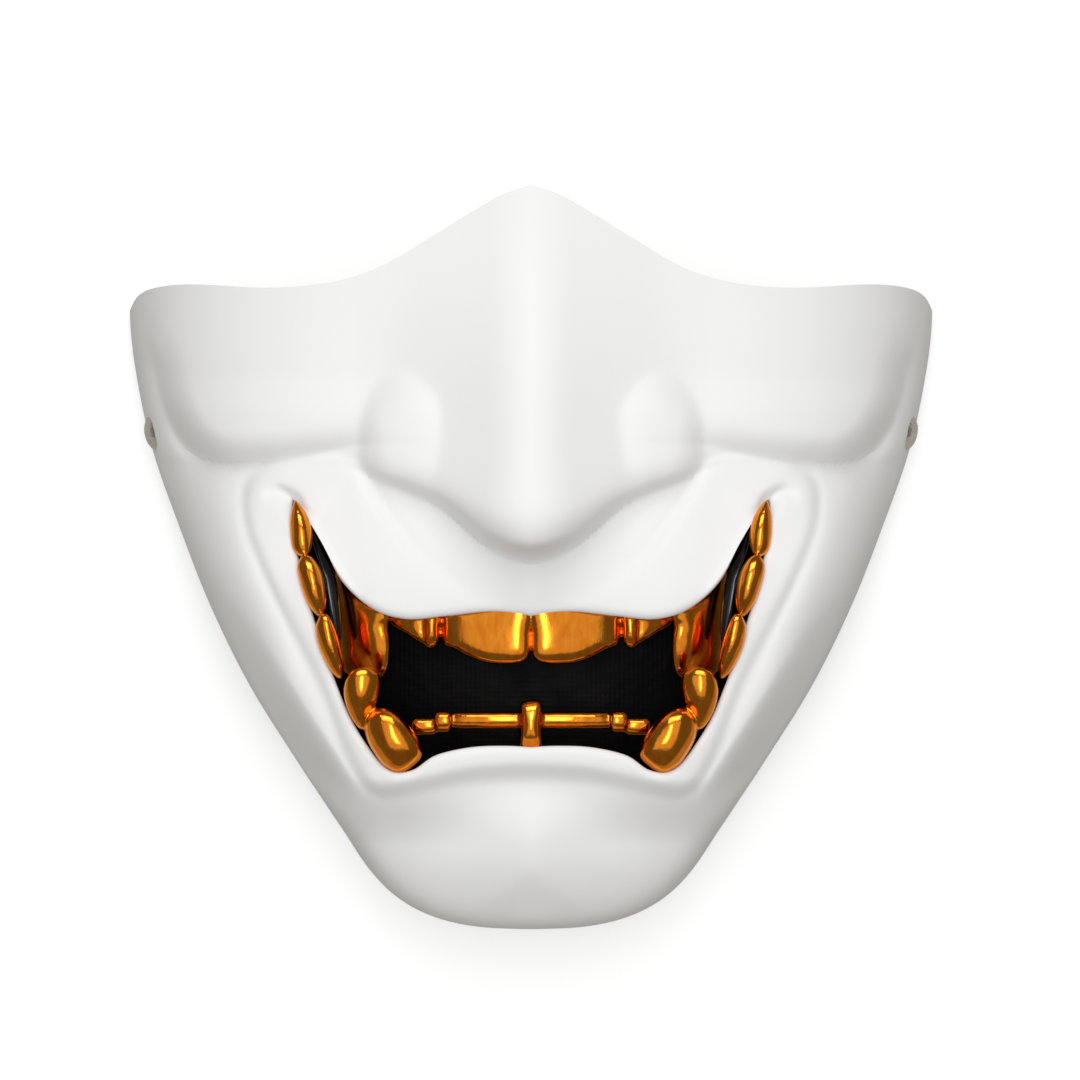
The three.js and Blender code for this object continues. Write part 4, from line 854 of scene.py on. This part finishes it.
def make_pale_floor():
    """White paper to the camera that throws less light back onto the mask."""
    material, tree, bsdf, place = new_finish("pale_floor", Specular_IOR_Level=0.1)
    grain = use_effect(tree, surface_grain, place, Grains_per_metre=900.0, Waves_per_metre=20.0,
                       Wave_share=0.3)
    gloss = use_effect(tree, uneven_gloss, place, Smooth=0.85, Rough=0.95, Patches_per_metre=20.0)
    rays = tree.nodes.new("ShaderNodeLightPath")
    tone = tree.nodes.new("ShaderNodeMix")
    tone.data_type = "RGBA"
    tone.inputs[COLOUR_A].default_value = FLOOR_THROW
    tone.inputs[COLOUR_B].default_value = FLOOR_SEEN
    bsdf.inputs["Emission Color"].default_value = (FLOOR_GLOW, FLOOR_GLOW, FLOOR_GLOW, 1)
    link(tree, rays.outputs["Is Camera Ray"], bsdf.inputs["Emission Strength"])
    link(tree, rays.outputs["Is Camera Ray"], tone.inputs["Factor"])
    link(tree, tone.outputs[COLOUR_OUT], bsdf.inputs["Base Color"])
    link(tree, gloss.outputs["Roughness"], bsdf.inputs["Roughness"])
    add_bump(tree, bsdf, grain.outputs["Height"], 0.3, 0.05)
    return material


white_plastic = make_white_plastic()
gold_plating = make_gold_plating()
black_sheet = make_black_sheet()
black_lacquer = make_black_lacquer()
stud_metal = make_stud_metal()


# The shell

def make_shell():
    other = loop[-2:0:-1] * [-1, 1, 1]
    ring = np.concatenate([loop, other], axis=0)
    points = np.pad(ring, ((0, 1), (0, 1), (0, 0)), mode="wrap")
    points[..., 1] -= middle_y
    shell = wrapped_grid(points * MM)
    face_outwards(shell)
    return shell


shell = finish_piece(make_shell(), "face_shell", white_plastic)
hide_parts("mask_shell")


# Teeth of one side. Each row: how far it stands out, how far its foot lies behind the lips, how
# square it is (1 a roof, 2 round, 4 a box), how it falls away to the side, how it comes forward
# upwards, and its outline, across and down, as shares of the mouth's half width and height

UPPER_TEETH = [
    (3.4, 6.8, 3.1, 0.19, 0.0,
     [(0.372, 0.366), (0.194, 0.357), (0.006, 0.366), (0.003, 0.486), (0.007, 0.564), (0.041, 0.595),
      (0.109, 0.602), (0.183, 0.598), (0.257, 0.576), (0.32, 0.547), (0.37, 0.523), (0.375, 0.44)]),
    (3.4, 8.0, 2.2, 0.0, 0.0,
     [(0.448, 0.376), (0.387, 0.376), (0.385, 0.477), (0.389, 0.53), (0.417, 0.545), (0.444, 0.535),
      (0.45, 0.459)]),
    (3.0, 10.2, 2.6, 0.4, 0.0,
     [(0.604, 0.366), (0.509, 0.385), (0.444, 0.403), (0.434, 0.495), (0.429, 0.534), (0.467, 0.523),
      (0.53, 0.488), (0.591, 0.454), (0.612, 0.403)]),
    (3.4, 12.2, 2.2, 0.5, 0.12,
     [(0.783, 0.219), (0.823, 0.256), (0.814, 0.366), (0.806, 0.477), (0.795, 0.569), (0.783, 0.63),
      (0.72, 0.655), (0.646, 0.66), (0.6, 0.62), (0.59, 0.523), (0.6, 0.459), (0.587, 0.403),
      (0.646, 0.32), (0.72, 0.256)]),
]
LOWER_TEETH = [
    (4.4, 5.8, 2.2, 0.0, 0.0,
     [(-0.046, 0.74), (-0.05, 0.82), (-0.046, 0.912), (0.0, 0.925), (0.046, 0.912), (0.05, 0.82),
      (0.046, 0.74), (0.0, 0.73)]),
    (4.8, 2.6, 2.0, 0.1, 0.0,
     [(0.657, 0.761), (0.69, 0.795), (0.699, 0.841), (0.682, 0.891), (0.651, 0.937), (0.612, 0.979),
      (0.557, 1.004), (0.503, 0.983), (0.455, 0.939), (0.463, 0.893), (0.497, 0.841), (0.547, 0.79),
      (0.596, 0.762)]),
    (3.4, 2.8, 1.7, -0.1, 0.1,
     [(0.751, 0.62), (0.779, 0.661), (0.785, 0.712), (0.77, 0.767), (0.739, 0.819), (0.707, 0.842),
      (0.676, 0.799), (0.644, 0.749), (0.627, 0.689), (0.636, 0.635), (0.678, 0.61), (0.714, 0.608)]),
    (3.0, 3.2, 1.7, -0.1, 0.1,
     [(0.883, 0.417), (0.903, 0.463), (0.892, 0.532), (0.861, 0.597), (0.823, 0.644), (0.791, 0.656),
      (0.781, 0.615), (0.793, 0.555), (0.808, 0.5), (0.83, 0.449), (0.854, 0.414)]),
    (3.0, 3.2, 1.7, -0.1, 0.1,
     [(0.956, 0.196), (0.981, 0.238), (0.966, 0.311), (0.939, 0.376), (0.903, 0.42), (0.878, 0.429),
      (0.857, 0.385), (0.859, 0.32), (0.875, 0.261), (0.899, 0.224), (0.925, 0.201)]),
    (2.8, 3.4, 1.7, -0.1, 0.1,
     [(0.989, -0.006), (1.008, 0.044), (1.012, 0.109), (1.002, 0.173), (0.976, 0.203), (0.945, 0.212),
      (0.922, 0.184), (0.913, 0.125), (0.932, 0.063), (0.96, 0.021)]),
]
# Rods of the lower row on one side: from and to across, down, half height and how far it stands
# out in millimetres, how far its foot lies behind the lips
RODS = [(0.03, 0.345, 0.807, 2.0, 1.9, 6.2), (0.335, 0.405, 0.812, 2.5, 2.3, 6.0),
        (0.395, 0.5, 0.83, 2.0, 1.6, 6.6)]
# How far a long rod's outer end lies back, in millimetres for a rod as long as half the mouth
ROD_LEAN = 3.0
ROD_LEAN_START = 0.4  # the lean starts this much inwards of its middle, in half lengths
ROD_SQUARE = 6  # 2 a spindle, more a bar with rounded ends
# Lacquered ridge behind the side teeth, from the mouth's corner inwards
LINING = (3.0, 8.5, 2.0, 0.0, 0.0,
          [(0.941, 0.04), (0.911, 0.104), (0.875, 0.182), (0.833, 0.249), (0.808, 0.32), (0.795, 0.403),
           (0.793, 0.495), (0.812, 0.532), (0.833, 0.459), (0.85, 0.366), (0.873, 0.274), (0.905, 0.192),
           (0.932, 0.109)])


def tooth(row, side):
    """A tooth inside its outline, on the right or the left."""
    bulge, behind_lip, square, turned, tipped, outline = row
    piece, p = new_ball(48, 24)
    edge = fine_curve(outline + outline[:1], 12) * [HALF_MOUTH, -MOUTH_HEIGHT] + [0, MOUTH_Y]
    turn = (np.arctan2(p[:, 1], p[:, 0]) / (2 * math.pi)) % 1
    edge_here = points_at(edge, np.linspace(0, 1, len(edge)), turn)
    middle = edge[:-1].mean(axis=0)
    out = np.clip(np.hypot(p[:, 0], p[:, 1]), 0, 1) ** (2 / square)
    x, y = (middle + (edge_here - middle) * out[:, None]).T
    stand_out = np.sign(p[:, 2]) * np.abs(p[:, 2]) ** (2 / square)
    z = dome_height(x, y) + LIP_RISE - behind_lip - turned * (x - middle[0]) + tipped * (y - middle[1])
    z += stand_out * np.where(p[:, 2] > 0, bulge, TOOTH_BACK)
    put_points(piece, seated(np.column_stack([x * side, y, z])))
    face_outwards(piece)
    return piece


def rod(row, side):
    """A short rod across the mouth, with rounded ends, that follows the face."""
    start, end, down, half_height, stand_out, behind_lip = row
    piece, p = new_ball(40, 48)
    thick = np.clip(1 - np.abs(p[:, 2]) ** ROD_SQUARE, 0, 1) ** (1 / ROD_SQUARE)
    turn = np.arctan2(p[:, 1], p[:, 0])
    x = HALF_MOUTH * ((start + end) / 2 + (end - start) / 2 * p[:, 2])
    y = MOUTH_Y - MOUTH_HEIGHT * down + half_height * thick * np.cos(turn)
    away = ROD_LEAN * np.maximum(0, p[:, 2] + ROD_LEAN_START) ** 2 * (end - start)
    z = dome_height(x, y) + LIP_RISE - behind_lip - away + stand_out * thick * np.sin(turn)
    put_points(piece, seated(np.column_stack([x * side, y, z])))
    face_outwards(piece)
    return piece


def gum_band(first, last):
    """Band that holds a row of teeth behind the lips, between two shares of the shell's lines."""
    lines, _ = shell_lines()
    places, reach = ring_places(lines, len(BAND_NEAR) + 1, BAND_NEAR)
    chosen = slice(round(first * LINES), round(last * LINES) + 1)
    places, reach = places[chosen, :len(BAND_NEAR)], reach[chosen, :len(BAND_NEAR)]
    layers = []
    for extra in (CLEARANCE, CLEARANCE + SEAT_THICKNESS):
        layer = places.copy()
        layer[:, :, 2] = behind(places[:, :, 0], places[:, :, 1], wall_at(reach) + extra)
        layers.append(layer)
    return np.concatenate([layers[0], layers[1][:, ::-1]], axis=1)


def band_piece(first, last):
    """The band of one row over both sides: the upper starts at the middle, the lower ends there."""
    half = gum_band(first, last)
    if first == 0:
        strip = np.concatenate([half[:0:-1] * [-1, 1, 1], half])
    else:
        strip = np.concatenate([half, half[-2::-1] * [-1, 1, 1]])
    strip = np.pad(strip, ((0, 0), (0, 1), (0, 0)), mode="wrap")
    band = wrapped_grid(seated(strip))
    bpy.ops.object.mode_set(mode="EDIT")
    bpy.ops.mesh.select_all(action="DESELECT")
    bpy.ops.mesh.select_non_manifold()
    bpy.ops.mesh.edge_face_add()
    bpy.ops.object.mode_set(mode="OBJECT")
    face_outwards(band)
    return band


TOOTH_VOXEL = 0.36
EVEN_STEPS, EVEN_SHARE = 6, 0.5


def teeth_row(rows, rods, band, name):
    """One row: its band, rods and teeth fused to one piece."""
    pieces = [band_piece(*band)]
    for row in rods:
        pieces += [rod(row, 1), rod(row, -1)]
    for row in rows:
        middle_tooth = row[5][0][0] < 0
        for side in ([1] if middle_tooth else [1, -1]):
            pieces.append(tooth(row, side))
    bpy.ops.object.select_all(action="DESELECT")
    for piece in pieces:
        piece.select_set(True)
    bpy.context.view_layer.objects.active = pieces[0]
    bpy.ops.object.join()
    made = bpy.context.object
    fuse = made.modifiers.new("fuse", "REMESH")
    fuse.mode = "VOXEL"
    fuse.voxel_size = TOOTH_VOXEL * MM
    bpy.ops.object.modifier_apply(modifier="fuse")
    even = made.modifiers.new("even", "SMOOTH")
    even.iterations = EVEN_STEPS
    even.factor = EVEN_SHARE
    bpy.ops.object.modifier_apply(modifier="even")
    return finish_piece(made, name, gold_plating, angle=80)


upper = teeth_row(UPPER_TEETH, [], (0, 0.3), "upper_row")
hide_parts("upper_teeth")
lower = teeth_row(LOWER_TEETH, RODS, (0.57, 1), "lower_row")
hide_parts("lower_teeth")

for side, name in ((1, "corner_lining_left"), (-1, "corner_lining_right")):
    lining = finish_piece(tooth(LINING, side), name, black_lacquer, angle=60)

for node, material in (("mouth_screen", black_sheet), ("strap_stud_left", stud_metal),
                       ("strap_stud_right", stud_metal)):
    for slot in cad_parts[node].material_slots:
        slot.material = material


# Floor, light and camera

bpy.ops.object.select_all(action="DESELECT")
bpy.ops.mesh.primitive_plane_add(size=6, location=(0, 0, -0.0002))
floor = bpy.context.object
floor.name = "floor"
floor.data.materials.append(make_pale_floor())

ROOM_LIGHT = 0.44
ROOM_IN_GLOSS = 0.16
PIXEL = 0.2357  # millimetres of the face to a pixel of the picture
FRAME_PIXELS = 1080
MIDDLE_COLUMN = 531  # of the picture, at the mask's middle
CHIN_ROW = 929
AIM_HEIGHT = 40
SENSOR = 36
CAMERA_DISTANCE = 8000.0


def face_point(x, y, z):
    return seated(np.array([[x, y, z]], float))[0]


def aim(thing, target):
    """Turns a camera or lamp towards a point, with the face's upwards as its own."""
    direction = np.array(target) - np.array(thing.location)
    forward = direction / np.linalg.norm(direction)
    up = face_point(0, 1, 0) - face_point(0, 0, 0)
    up /= np.linalg.norm(up)
    right = np.cross(forward, up)
    right /= np.linalg.norm(right)
    up = np.cross(right, forward)
    thing.rotation_euler = Matrix([[right[k], up[k], -forward[k]] for k in range(3)]).to_euler()


picture_middle = FRAME_PIXELS / 2
centre = (picture_middle - MIDDLE_COLUMN) * PIXEL, CHIN_Y + (CHIN_ROW - picture_middle) * PIXEL
camera_data = bpy.data.cameras.new("view")
camera_data.sensor_width = SENSOR
camera_data.lens = SENSOR * CAMERA_DISTANCE / (FRAME_PIXELS * PIXEL)
camera_data.clip_end = 20
camera = bpy.data.objects.new("view", camera_data)
bpy.context.collection.objects.link(camera)
camera.location = face_point(*centre, AIM_HEIGHT + CAMERA_DISTANCE)
aim(camera, face_point(*centre, AIM_HEIGHT))
bpy.context.scene.camera = camera


def softbox(name, place, target, size, power):
    data = bpy.data.lights.new(name, "AREA")
    data.shape = "RECTANGLE"
    data.size, data.size_y = size[0] * MM, size[1] * MM
    data.energy = power
    lamp = bpy.data.objects.new(name, data)
    bpy.context.collection.objects.link(lamp)
    lamp.location = face_point(*place)
    aim(lamp, face_point(*target))


softbox("key_light", (0, 250, 1450), (0, 0, 40), (300, 1200), 5.5)
softbox("tent_light", (0, 100, 1700), (0, 0, 40), (2200, 2200), 9)
softbox("top_light", (0, 1100, 900), (0, 20, 40), (1000, 500), 5.5)
world = bpy.data.worlds.new("studio")
bpy.context.scene.world = world
world.use_nodes = True
sky = world.node_tree
sky.nodes["Background"].inputs["Color"].default_value = (1, 1, 1, 1)
rays = sky.nodes.new("ShaderNodeLightPath")
level = sky.nodes.new("ShaderNodeMix")
level.inputs["A"].default_value = ROOM_IN_GLOSS
level.inputs["B"].default_value = ROOM_LIGHT
link(sky, rays.outputs["Is Diffuse Ray"], level.inputs["Factor"])
link(sky, level.outputs["Result"], sky.nodes["Background"].inputs["Strength"])
bpy.context.scene.view_settings.view_transform = "Standard"
